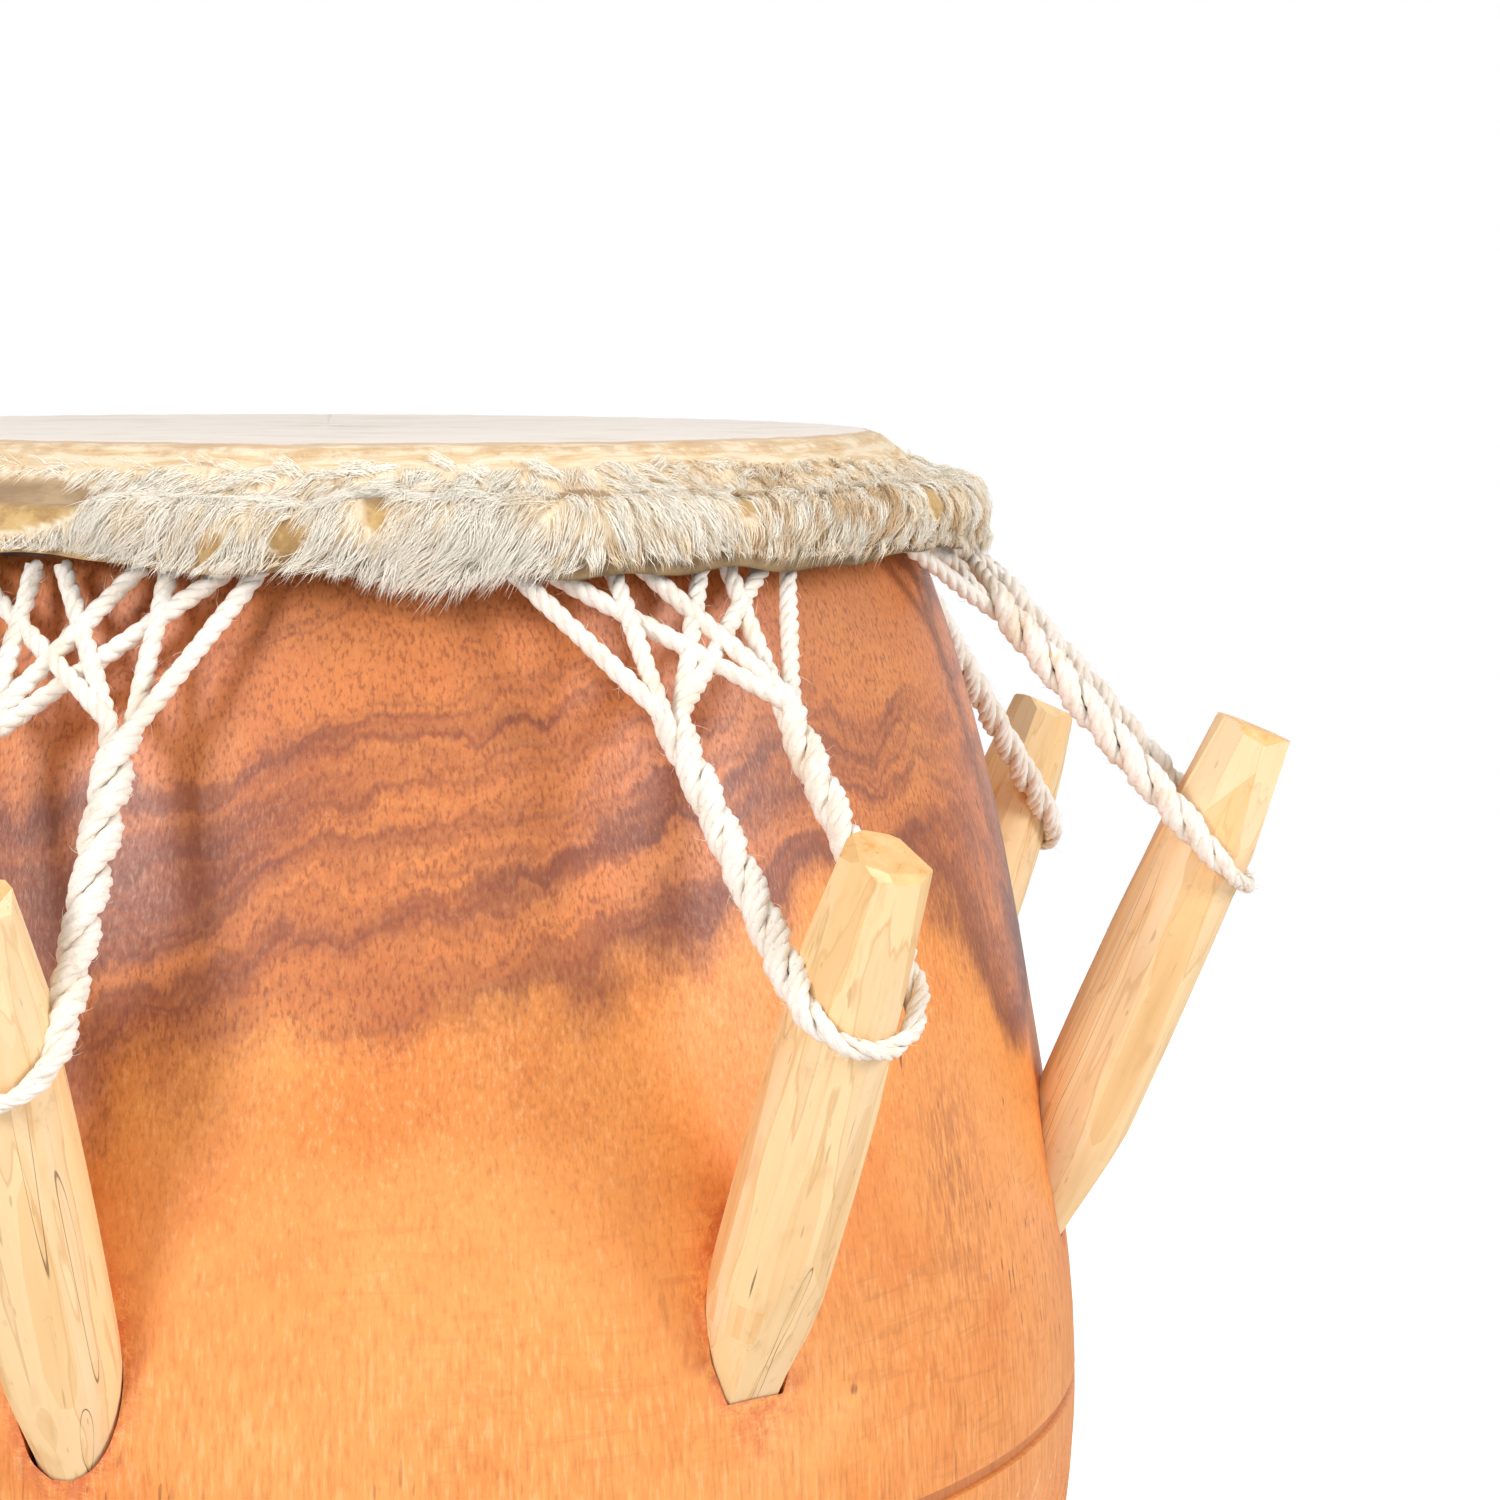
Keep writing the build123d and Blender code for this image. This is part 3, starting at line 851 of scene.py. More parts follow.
# %% Hide finish
def hide():
    skin = Finish("goat_hide", 0.62)
    down = skin.attribute("down_hide")
    mottle = skin.noise(42.0, 5.0, 0.65)
    wiped = skin.noise(150.0, 4.0, 0.7)
    fibre = skin.noise(700.0, 3.0, 0.6)
    drawn = skin.noise(1.0, 4.0, 0.65, place=skin.stretched((60, 420, 60), place=skin.attribute("round_hide", "Vector")))
    head = skin.ramp(mottle, (0.3, "ecdfd2"), (0.55, "f6ece2"), (0.75, "faf2e9"))
    head = skin.mix(skin.maths("MULTIPLY", skin.step(wiped, 0.56, 0.75), 0.28), head, "d6c6b4")
    head = skin.mix(skin.maths("MULTIPLY", skin.step(drawn, 0.58, 0.7), 0.1), head, "d9c3a4")
    shoulder = skin.ramp(drawn, (0.28, "bf9263"), (0.42, "dcbf95"), (0.58, "ecdabd"), (0.75, "e0caa6"))
    speck = skin.step(skin.noise(430.0, 3.0, 0.7), 0.62, 0.72)
    shoulder = skin.mix(skin.maths("MULTIPLY", speck, 0.5), shoulder, "b98a5c")
    fold = skin.ramp(mottle, (0.3, "7d6148"), (0.5, "9c7d5c"), (0.7, "b79a76"))
    fold = skin.mix(skin.maths("MULTIPLY", skin.step(wiped, 0.5, 0.7), 0.5), fold, "8a745e")
    lower = skin.ramp(wiped, (0.35, "a98450"), (0.55, "c9a56c"), (0.75, "dcc190"))
    combed = skin.noise(1.0, 4.0, 0.7, place=skin.stretched((900, 160, 60), place=skin.attribute("round_hide", "Vector")))
    under_fur = skin.ramp(combed, (0.3, "bfa07a"), (0.5, "e4cfae"), (0.7, "f7ead3"))
    hem = skin.ramp(wiped, (0.3, "4f3f2c"), (0.7, "846a48"))
    wavering = skin.maths("ADD", down, skin.maths("MULTIPLY", skin.maths("SUBTRACT", mottle, 0.5), 0.006))
    shade = skin.mix(skin.step(wavering, -0.0045, -0.0005), head, shoulder)
    crease = skin.maths("ABSOLUTE", skin.maths("ADD", wavering, 0.0022))
    shade = skin.mix(skin.maths("MULTIPLY", skin.step(crease, 0.0014, 0.0002), 0.5), shade, "b98b5e")
    crest = skin.step(skin.maths("ABSOLUTE", skin.maths("SUBTRACT", wavering, 0.0008)), 0.0035, 0.0008)
    crest = skin.maths("MULTIPLY", crest, skin.step(wiped, 0.42, 0.62))
    shade = skin.mix(skin.maths("MULTIPLY", crest, 0.55), shade, "c4996b")
    shade = skin.mix(skin.step(wavering, 0.0085, 0.0125), shade, fold)
    shade = skin.mix(skin.step(wavering, 0.0215, 0.026), shade, lower)
    shade = skin.mix(skin.attribute("furred"), shade, under_fur)
    shade = skin.mix(skin.maths("MULTIPLY", skin.attribute("dark_hem"), 0.85), shade, hem)
    skin.base(shade)
    relief = skin.maths("ADD", skin.maths("MULTIPLY", wiped, 0.8), skin.maths("MULTIPLY", fibre, 0.35))
    relief = skin.maths("ADD", relief, skin.maths("MULTIPLY", drawn, 0.8))
    skin.bump(relief, 0.0005, 0.6)
    return skin


goat_hide = hide()

# %% The hide's outline and ripples
RIM_R = 127 * MM
HOOP_R = 145 * MM
HOOP_Z = HEAD_Z - 17 * MM
FOLD_R = 6.3 * MM
HIDE = 1.5 * MM
HEM_Z = HEAD_Z - 25.5 * MM


def fold_line():
    """The hide's outer face as radius and height, from the flat head to the hem."""
    line = [(RIM_R - 14 * MM, HEAD_Z), (RIM_R - 6 * MM, HEAD_Z), (RIM_R - 2.5 * MM, HEAD_Z - 0.25 * MM)]
    line += [(RIM_R + 0.4 * MM, HEAD_Z - 1.3 * MM), (RIM_R + 3.2 * MM, HEAD_Z - 3.4 * MM)]
    line += [(RIM_R + 6.5 * MM, HEAD_Z - 6.2 * MM), (RIM_R + 10 * MM, HEAD_Z - 8.9 * MM)]
    start = math.radians(118)
    for i in range(12):
        angle = start * (1 - i / 9)
        line.append((HOOP_R + FOLD_R * math.cos(angle), HOOP_Z + FOLD_R * math.sin(angle)))
    hem_r = line[-1][0] - 0.4 * MM
    for share in (0.35, 0.7, 1.0):
        line.append((hem_r, line[-1][1] + (HEM_Z - line[-1][1]) * share))
    return np.array(line)


def even(line, step):
    """The same line with points at an even spacing."""
    runs = np.concatenate([[0], np.cumsum(np.hypot(*np.diff(line, axis=0).T))])
    count = round(runs[-1] / step)
    places_on = np.linspace(0, runs[-1], count + 1)
    return np.stack([np.interp(places_on, runs, line[:, i]) for i in (0, 1)], axis=1), places_on


hide_line, hide_run = even(fold_line(), 0.9 * MM)
SHOULDER_RUN = 14 * MM
hide_run = hide_run - SHOULDER_RUN
tangents = np.gradient(hide_line, axis=0)
tangents /= np.hypot(*tangents.T)[:, None]
HEM_RUN = hide_run[-1]
lumps = waves(3, 9, 3, 26, 0.75 * MM)
folds = waves(5, 8, 20, 60, 0.35 * MM)
puckers = waves(8, 7, 30, 90, 0.22 * MM)
hem_wander = waves(9, 9, 4, 40, 0.8 * MM)
rim_wander = waves(12, 6, 2, 9, 0.7 * MM)
HEM_LIFTS = ((-180, 1), (-90, 0), (-40, 3), (-20, 4.6), (-12, 2.6), (0, 1), (12, 0), (45, 0.6), (62, 1.8), (90, 0), (150, 2))


def by_azimuth(pairs, azimuth):
    """A value that was noted at some azimuths in degrees, faded between them all round the drum."""
    degrees = np.degrees(np.asarray(azimuth, dtype=float))
    return np.interp(degrees, [p[0] for p in pairs], [p[1] for p in pairs], period=360)


def on_hide(azimuth, run, lift=0.0):
    """Points on the uneven hide at an azimuth and a distance down it, lifted off along its normal."""
    azimuth = np.asarray(azimuth, dtype=float)
    run = np.asarray(run, dtype=float)
    over = np.clip(run - HEM_RUN, 0, None)
    held = np.clip(run, hide_run[0], HEM_RUN)
    radius = np.interp(held, hide_run, hide_line[:, 0])
    height = np.interp(held, hide_run, hide_line[:, 1]) - over
    along_r = np.interp(held, hide_run, tangents[:, 0])
    along_z = np.interp(held, hide_run, tangents[:, 1])
    size = np.maximum(np.hypot(along_r, along_z), 1e-9)
    normal_r, normal_z = -along_z / size, along_r / size
    depth = np.clip((held + 2 * MM) / (9 * MM), 0, 1)
    uneven = depth * (lumps(azimuth, held) + folds(azimuth, held)) + (1 - depth) * puckers(azimuth, held) * 0.5
    reach = uneven + lift
    shift = rim_wander(azimuth) * np.clip(1 - np.abs(held) / (12 * MM), 0, 1)
    raised = by_azimuth(HEM_LIFTS, azimuth) * MM - hem_wander(azimuth)
    raised = raised * np.clip((held - HEM_RUN + 9 * MM) / (9 * MM), 0, 1) ** 1.5
    radius = radius + normal_r * reach + shift
    height = height + normal_z * reach * np.where(held < 0, 0.35, 1.0) + raised
    return np.stack([radius * np.sin(azimuth), -radius * np.cos(azimuth), height], axis=-1)

# %% [markdown]
# The hide is spun from that outline, its points are moved onto the uneven surface, and a Solidify
# modifier gives it the thickness of a real skin, inwards, so the cut hem shows an edge.


# %% Make the hide
HIDE_STEPS = 640
head_radii = [0.5 * MM] + [r * MM for r in (25, 50, 75, 95, 105)]
head_rows = [(r, HEAD_Z) for r in head_radii]
bm = spun(head_rows + [tuple(p) for p in hide_line], HIDE_STEPS, closed=False)
open_edges = [edge for edge in bm.edges if edge.is_boundary and edge.verts[0].co.xy.length < 1 * MM]
bmesh.ops.holes_fill(bm, edges=open_edges, sides=0)
hide_mesh = mesh_of(bm, "hide")
points = points_of(hide_mesh)
flat_radius = np.hypot(points[:, 0], points[:, 1])
azimuths = np.arctan2(points[:, 0], -points[:, 1])
rows = np.concatenate([np.full(len(head_rows), -1.0), hide_run])
line = np.concatenate([np.array(head_rows), hide_line])
nearest = np.argmin((flat_radius[:, None] - line[:, 0]) ** 2 + (points[:, 2, None] - line[:, 1]) ** 2, axis=1)
run = rows[nearest]
on_head = run < -0.5
moved = on_hide(azimuths, np.where(on_head, hide_run[0], run))
sagged = points.copy()
ripple = waves(21, 5, 1, 6, 0.18 * MM)
sagged[:, 2] -= np.abs(ripple(azimuths, flat_radius))
place_points(hide_mesh, np.where(on_head[:, None], sagged, moved))
run = np.where(on_head, flat_radius - RIM_R, run)
remember(hide_mesh, "down_hide", run)
remember(hide_mesh, "round_hide", np.stack([azimuths * RIM_R, run, np.zeros(len(run))], axis=1))
DARK_HEMS = ((-180, 0.8), (-60, 0.3), (-30, 0.2), (-8, 0.2), (-3, 0.8), (10, 0.9), (60, 1), (120, 0.7), (160, 0.2))
near_hem = np.clip((run - HEM_RUN + 5.5 * MM) / (2 * MM), 0, 1)
remember(hide_mesh, "dark_hem", near_hem * by_azimuth(DARK_HEMS, azimuths))
skin = keep("goat_skin_head", hide_mesh, goat_hide)
wall = skin.modifiers.new("thickness", "SOLIDIFY")
wall.thickness = HIDE
wall.offset = -1.0
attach(skin, "shell")
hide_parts("drum_skin")
print("hide faces", len(hide_mesh.polygons))

# %% [markdown]
# The hoop is plain iron rod, hidden in the fold. The CAD ring is already right, so it only needs a
# rusty finish on its own solid.

# %% Iron hoop finish
iron = Finish("rusty_rod", 0.7)
iron.shader.inputs["Metallic"].default_value = 0.4
rust = iron.noise(90.0, 5.0, 0.7)
iron.base(iron.ramp(rust, (0.35, "2c2724"), (0.6, "5a3420"), (0.8, "7d4526")))
iron.bump(rust, 0.0004, 0.6)
hoop_slots = frame["nodes"]["hoop"].data.materials
hoop_slots.clear()
hoop_slots.append(iron.material)

# %% [markdown]
# Hair is the look of this drum. It grows in locks: neighbouring hairs lean the same way and their tips
# draw together. Every hair is a thin tapering spike drawn as a curve with a three-sided bevel, laid
# along the hide in numpy. Its own tone and its place along itself are stored on its points, so one
# finish colours white, cream and brown hair alike.

# %% Hair finishes
def hair(name, shades, roughness=0.55):
    """A hair finish that runs from dark to pale by each hair's tone."""
    finish = Finish(name, roughness)
    tone = finish.attribute("hair_tone")
    mottled = finish.maths("ADD", tone, finish.maths("MULTIPLY", finish.noise(600.0, 2.0), 0.12))
    shade = finish.ramp(mottled, *shades)
    root = finish.step(finish.attribute("hair_run"), 0.4, 0.0)
    shade = finish.mix(finish.maths("MULTIPLY", root, 0.25), shade, "d3b791")
    finish.base(shade)
    return finish


HAIR_SHADES = ((0.0, "8a6a4c"), (0.22, "bb9468"), (0.42, "e8cba1"), (0.62, "fdebd0"), (0.85, "fff9ec"))
goat_hair = hair("goat_hair", HAIR_SHADES)

# %% Where the hair grows
rng = np.random.default_rng(77)
HAIRS = 54000
LOCKS = 3400
FRONT = (math.radians(-30), math.radians(108))
FRONT_SHARE = 0.54
FUR_TOP = 5.4 * MM
FOLD_REACH = HOOP_R + FOLD_R
BARE_SPOTS = ((-25, 7.6, 20, 11), (3.4, 1.15, 24, 6.5), (-2.9, 1.3, 31, 5), (-8.5, 1.0, 33, 3), (20.5, 2.6, 17, 3.6),
              (33, 1.2, 24, 5), (58, 1.5, 26, 6), (97, 4, 24, 9), (140, 6, 27, 8), (188, 3, 22, 8), (222, 9, 25, 10),
              (285, 5, 24, 9))
LEANS = ((-180, 0.3), (-70, -0.35), (-18, -0.45), (-6, -0.6), (8, -0.75), (17, -0.7), (22, 0.2), (28, 0.65), (33, 0.1),
         (37, -0.7), (52, -1.0), (75, -0.9), (110, -0.3), (150, 0.5))
FUR_ENDS = ((-180, 1.2), (-60, -1), (-30, -3), (-17, -3), (-13, 0.4), (-9, -0.2), (-3, -1.2), (2, 0.2), (6, 1.2), (13, 0.9),
            (17, -0.6), (22, -2.4), (32, -2.8), (40, -2.4), (55, -1.8), (66, 0.6), (90, 1.4), (130, 0.2), (150, 1.6))
FUR_TOPS = ((-180, 5.4), (30, 5.4), (60, 6.4), (75, 8.6), (110, 8.6), (140, 5.4))
FUR_LENGTHS = ((-180, 11), (-60, 11), (-12, 13), (14, 14), (22, 11), (32, 9), (60, 8), (80, 9), (120, 11))
FUR_TONES = ((-180, 0.8), (-60, 0.7), (-18, 0.9), (16, 0.95), (21, 0.72), (27, 0.85), (34, 0.66), (45, 0.6), (56, 0.68),
             (66, 0.68), (80, 0.76), (110, 0.85))


def bare(azimuth, run):
    """True where the hair is rubbed off and the rawhide shows."""
    hidden = np.zeros(len(azimuth), dtype=bool)
    degrees = np.degrees(azimuth)
    for centre, half, depth, tall in BARE_SPOTS:
        away = (degrees - centre + 180) % 360 - 180
        hidden |= (away / half) ** 2 + ((run - depth * MM) / (tall * MM)) ** 2 < 1
    return hidden


lock_azimuth = rng.uniform(-math.pi, math.pi, LOCKS)
lock_run = rng.uniform(FUR_TOP - 1 * MM, HEM_RUN + 1 * MM, LOCKS)
lock_lean = by_azimuth(LEANS, lock_azimuth) + rng.normal(0, 0.24, LOCKS)
at_top = (lock_run < 9.5 * MM) & (rng.random(LOCKS) < 0.45)
lock_lean = np.where(at_top, np.sign(lock_lean) * rng.uniform(1.5, 2.2, LOCKS), lock_lean)
depth = np.clip((lock_run - FUR_TOP) / (HEM_RUN - FUR_TOP), 0, 1)
lock_length = by_azimuth(FUR_LENGTHS, lock_azimuth) * MM * (0.62 + 0.4 * depth) * rng.uniform(0.75, 1.2, LOCKS)
lock_length = np.where(at_top, lock_length * 0.6, lock_length)
lock_lift = rng.uniform(0.9, 3.0, LOCKS) * MM * (0.5 + 0.5 * depth)
patches = waves(33, 12, 4, 60, 0.2)
lock_tone = by_azimuth(FUR_TONES, lock_azimuth) + patches(lock_azimuth, lock_run * 90) + rng.normal(0, 0.09, LOCKS)

in_front = rng.random(HAIRS) < FRONT_SHARE
azimuth = np.where(in_front, rng.uniform(*FRONT, HAIRS), rng.uniform(FRONT[1], FRONT[0] + math.tau, HAIRS))
azimuth = (azimuth + math.pi) % math.tau - math.pi
root_run = rng.uniform(FUR_TOP, HEM_RUN - 0.3 * MM, HAIRS)
grown = ~bare(azimuth, root_run) & (root_run > by_azimuth(FUR_TOPS, azimuth) * MM)
azimuth, root_run = azimuth[grown], root_run[grown]
tree = KDTree(LOCKS)
for i in range(LOCKS):
    tree.insert((lock_azimuth[i] * FOLD_REACH, lock_run[i], 0), i)
tree.balance()
lock = np.array([tree.find((a * FOLD_REACH, r, 0))[1] for a, r in zip(azimuth, root_run)])
count = len(azimuth)
lean = lock_lean[lock] + rng.normal(0, 0.09, count)
length = lock_length[lock] * rng.uniform(0.8, 1.1, count)
limit = HEM_RUN + by_azimuth(FUR_ENDS, azimuth) * MM + rng.normal(0, 0.5, count) * MM
steep = np.maximum(np.cos(lean), 0.05)
length = np.where(np.cos(lean) > 0.05, np.minimum(length, (limit - root_run) / steep), length)
half_way = bare(azimuth + 0.55 * length * np.sin(lean) / FOLD_REACH, root_run + 0.55 * length * np.cos(lean))
kept = (length > 2.2 * MM) & ~half_way
azimuth, root_run, lock, lean, length = (values[kept] for values in (azimuth, root_run, lock, lean, length))
count = len(azimuth)
tone = np.clip(lock_tone[lock] + rng.normal(0, 0.07, count), 0, 1)
furred = np.clip((run - by_azimuth(FUR_TOPS, azimuths) * MM) / (3 * MM), 0, 1) * ~bare(azimuths, run)
remember(hide_mesh, "furred", furred * (1 - near_hem))
print("hairs", count)

# %% The path of every hair
JOINTS = 4
DRAWN = 0.62
share = np.array([0, 0.3, 0.66, 1.0])
lift = lock_lift[lock] * rng.uniform(0.6, 1.25, count)
strands = np.empty((count, JOINTS, 3))
off_azimuth = (azimuth - lock_azimuth[lock] + math.pi) % math.tau - math.pi
off_run = root_run - lock_run[lock]
bend = rng.normal(0.12, 0.12, count)
for i, s in enumerate(share):
    drawn_in = 1 - DRAWN * s ** 1.5
    lean_now = lean * (1 - bend * s)
    run_now = lock_run[lock] + off_run * drawn_in + length * s * np.cos(lean_now)
    azimuth_now = lock_azimuth[lock] + off_azimuth * drawn_in + length * s * np.sin(lean_now) / FOLD_REACH
    lift_now = lift * math.sin(s * math.pi * 0.68) - 0.3 * MM * (s == 0)
    strands[:, i] = on_hide(azimuth_now, run_now, lift_now)
thickness = rng.uniform(0.065, 0.12, count) * MM

# %% Grow the hair
def spikes(name, lines, widths):
    """Thin tapering spikes drawn along lines of a few points."""
    triangle = bpy.data.curves.new(name + "_section", "CURVE")
    triangle.dimensions = "2D"
    side = triangle.splines.new("POLY")
    side.points.add(2)
    side.use_cyclic_u = True
    for i, point in enumerate(side.points):
        turn = math.tau * i / 3
        point.co = (math.cos(turn), math.sin(turn), 0, 1)
    section = bpy.data.objects.new(name + "_section", triangle)
    bpy.context.collection.objects.link(section)
    data = bpy.data.curves.new(name, "CURVE")
    data.dimensions = "3D"
    data.bevel_mode = "OBJECT"
    data.bevel_object = section
    steps = lines.shape[1]
    taper = np.interp(np.linspace(0, 1, steps), [0, 0.4, 0.75, 1], [1.0, 0.95, 0.6, 0.08])
    for line, width in zip(lines, widths):
        spline = data.splines.new("POLY")
        spline.points.add(steps - 1)
        spline.points.foreach_set("co", np.column_stack([line, np.ones(steps)]).ravel())
        spline.points.foreach_set("radius", taper * width)
    mesh = as_mesh(data, name)
    bpy.data.objects.remove(section)
    bpy.data.curves.remove(triangle)
    return mesh


def remember_hairs(mesh, tones, steps):
    """Each hair's tone and its share along itself, in the order in which the curve made its points."""
    around = len(mesh.vertices) // (len(tones) * steps)
    remember(mesh, "hair_tone", np.repeat(tones, steps * around))
    remember(mesh, "hair_run", np.tile(np.repeat(np.linspace(0, 1, steps), around), len(tones)))


SECTORS = 8
sector = ((azimuth + math.pi) / math.tau * SECTORS).astype(int) % SECTORS
for part in range(SECTORS):
    chosen = sector == part
    fur_mesh = spikes(f"goat_hair_{part + 1}", strands[chosen], thickness[chosen])
    remember_hairs(fur_mesh, tone[chosen], JOINTS)
    fur = keep(f"goat_hair_{part + 1}", fur_mesh, goat_hair)
    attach(fur, "shell")
    print("hair", part + 1, len(fur_mesh.vertices) / chosen.sum(), 2 * len(fur_mesh.polygons), "triangles")

# %% [markdown]
# The cord is laid cotton, so it is modelled as it is made: three plies twist into a cord, and four cords
# twist together into each leg. One cord runs from the hoop to the gather, down the leg, round the peg
# and back up to the hoop, so the gathers form by themselves where the cords come together.


# %% Cotton finish
def cotton():
    finish = Finish("laid_cotton", 0.85)
    yarn = finish.noise(900.0, 3.0, 0.6)
    tone = finish.noise(120.0, 3.0, 0.6)
    shade = finish.ramp(tone, (0.3, "eee2d2"), (0.55, "f7efe4"), (0.8, "fcf7f0"))
    stain = finish.step(finish.noise(48.0, 3.0, 0.6), 0.52, 0.74)
    stain = finish.maths("MULTIPLY", stain, finish.maths("ADD", finish.attribute("stained"), 0.3))
    shade = finish.mix(stain, shade, "dcbb8e")
    soot = finish.step(finish.noise(260.0, 2.0, 0.5), 0.6, 0.68)
    soot = finish.maths("MULTIPLY", finish.attribute("soot"), soot)
    shade = finish.mix(finish.maths("MULTIPLY", soot, 0.7), shade, "94826c")
    dust = finish.step(finish.noise(520.0, 2.0, 0.6), 0.64, 0.74)
    shade = finish.mix(finish.maths("MULTIPLY", dust, 0.3), shade, "b59c7c")
    finish.base(shade)
    finish.shader.inputs["Sheen Weight"].default_value = 0.2
    finish.bump(yarn, 0.0004, 0.8)
    return finish


laid_cotton = cotton()
cotton_fuzz = Finish("cotton_fuzz", 0.8)
cotton_fuzz.base(cotton_fuzz.ramp(cotton_fuzz.noise(300.0), (0.3, "ede0cd"), (0.7, "fffaf2")))

# %% The cord's route
LEG_R = 2.0 * MM
GATHER_DROPS = (50, 50, 33, 42, 50, 47, 50, 50)
GATHER_SIDES = (-16.5 * MM, 11 * MM)
PASSES = (-13.2, -4.6, 3.9, 10.9)
PASS_SPREAD = 1.15
ROOT_R = 143 * MM
ROOT_Z = HEAD_Z - 23.3 * MM
LOOP_DROP = 27.5 * MM
HIP_R = 10.8 * MM
GAP = 0.1 * MM


class Hitch:
    """The plane in which a peg's hitch lies: sideways, and up towards the hoop."""

    def __init__(self, place, drop):
        self.place = place
        self.centre = place.at(LOOP_DROP)
        root = outwards(place.azimuth) * ROOT_R + Vector((0, 0, HEAD_Z - 21.5 * MM))
        self.up = (root - self.centre).normalized()
        self.side = place.side
        self.out = self.side.cross(self.up).normalized()
        self.round = HIP_R + LEG_R + GAP
        crossing = math.sin(self.up.angle(place.axis))
        self.dip = self.round / crossing - self.round
        self.gather = (HEAD_Z - drop * MM - self.centre.z) / self.up.z

    def point(self, x, y):
        return self.centre + self.side * x + self.up * y

    def line(self):
        """The bundle's middle line: down the left leg, round the peg, up the right leg."""
        left, right = GATHER_SIDES
        points = []
        for i in range(60):
            s = i / 60
            points.append(self.point(left + (-self.round - left) * s, self.gather * (1 - s) - self.dip * s))
        for i in range(41):
            angle = math.pi + math.pi * i / 40
            points.append(self.point(self.round * math.cos(angle), self.round * math.sin(angle) - self.dip))
        for i in range(1, 61):
            s = i / 60
            points.append(self.point(self.round + (right - self.round) * s, -self.dip + (self.gather + self.dip) * s))
        return np.array(points)


def spaced(points, step):
    """The same route with even steps, and its running length."""
    runs = np.concatenate([[0], np.cumsum(np.linalg.norm(np.diff(points, axis=0), axis=1))])
    count = max(2, round(runs[-1] / step))
    even_runs = np.linspace(0, runs[-1], count + 1)
    return np.stack([np.interp(even_runs, runs, points[:, i]) for i in range(3)], axis=1), even_runs


def carried_frames(points):
    """Two unit vectors square to the route at each point, carried along without twisting."""
    way = np.gradient(points, axis=0)
    way /= np.linalg.norm(way, axis=1)[:, None]
    first = np.cross(way[0], (0.3, 0.2, 0.93))
    first /= np.linalg.norm(first)
    across = np.empty_like(points)
    for i, w in enumerate(way):
        first = first - w * first.dot(w)
        first /= np.linalg.norm(first)
        across[i] = first
    return across, np.cross(way, across)


def wound(points, runs, radius, pitch, phase):
    """A helix about a route."""
    across, other = carried_frames(points)
    turn = runs / pitch * math.tau + phase
    radius = np.broadcast_to(radius, runs.shape)[:, None]
    return points + radius * (across * np.cos(turn)[:, None] + other * np.sin(turn)[:, None])


def strand_root(place, degrees):
    azimuth = place.azimuth + math.radians(degrees)
    return np.array(outwards(azimuth) * ROOT_R + Vector((0, 0, ROOT_Z)))


def slack(points, hitch):
    """How far a cord is from being pressed on the peg: 0 at the bottom of the loop, 1 up the legs."""
    bottom = np.array(hitch.point(0, -hitch.dip - hitch.round))
    away = np.linalg.norm(points - bottom, axis=1)
    return np.clip((away - 10 * MM) / (13 * MM), 0, 1)


CORD_R = 1.95 * MM
BUNDLE_R = 2.12 * MM
LEG_PITCH = 20.5 * MM
CORD_PITCH = 10.5 * MM
PLY_STEP = 0.8 * MM
SQUEEZE = 0.97
PRESSED = 0.56
PAIRED = (-0.42, 0.42, math.pi - 0.42, math.pi + 0.42)


def cord_routes(hitch, seed):
    """Four cords of one peg, from hoop to hoop. Returns each route and how thick the cord is along it."""
    rng = random.Random(seed)
    middle, runs = spaced(hitch.line(), 0.8 * MM)
    routes = []
    phase = rng.uniform(0, math.tau)
    breath = 1 + 0.1 * np.sin(runs / (17 * MM) + rng.uniform(0, 6))
    breath *= 0.48 + 0.52 * slack(middle, hitch)
    turned_more = runs + 2.2 * MM * np.sin(runs / (26 * MM) + rng.uniform(0, 6))
    for i in range(4):
        helix = wound(middle, turned_more, BUNDLE_R * breath, LEG_PITCH, phase + PAIRED[i])
        early = round(rng.uniform(0, 7))
        late = round(rng.uniform(0, 7))
        bundle = helix[early:len(helix) - late]
        down = strand_root(hitch.place, PASSES[i] - PASS_SPREAD)
        back = strand_root(hitch.place, PASSES[(i * 3 + 1) % 4] + PASS_SPREAD)
        route = np.concatenate([[down], bundle, [back]])
        route, route_runs = spaced(route, PLY_STEP)
        for _ in range(5):
            route[1:-1] = (route[:-2] + route[1:-1] * 2 + route[2:]) / 4
        free = np.minimum(route_runs, route_runs[-1] - route_runs)
        start_length = np.linalg.norm(bundle[0] - down)
        tight = np.clip((free - start_length + 6 * MM) / (9 * MM), 0, 1)
        size = CORD_R * (1 - (1 - SQUEEZE) * tight) * (PRESSED + (1 - PRESSED) * slack(route, hitch))
        routes.append((route, route_runs, size))
    return routes

# %% [markdown]
# Each ply is a tube along a helix about its cord, drawn as a bevelled curve and made a mesh. A few
# hundred loose fibres stand off each cord, since new cotton is never smooth.


# %% Lay the cords
PLIES = 3
FIBRES = 190


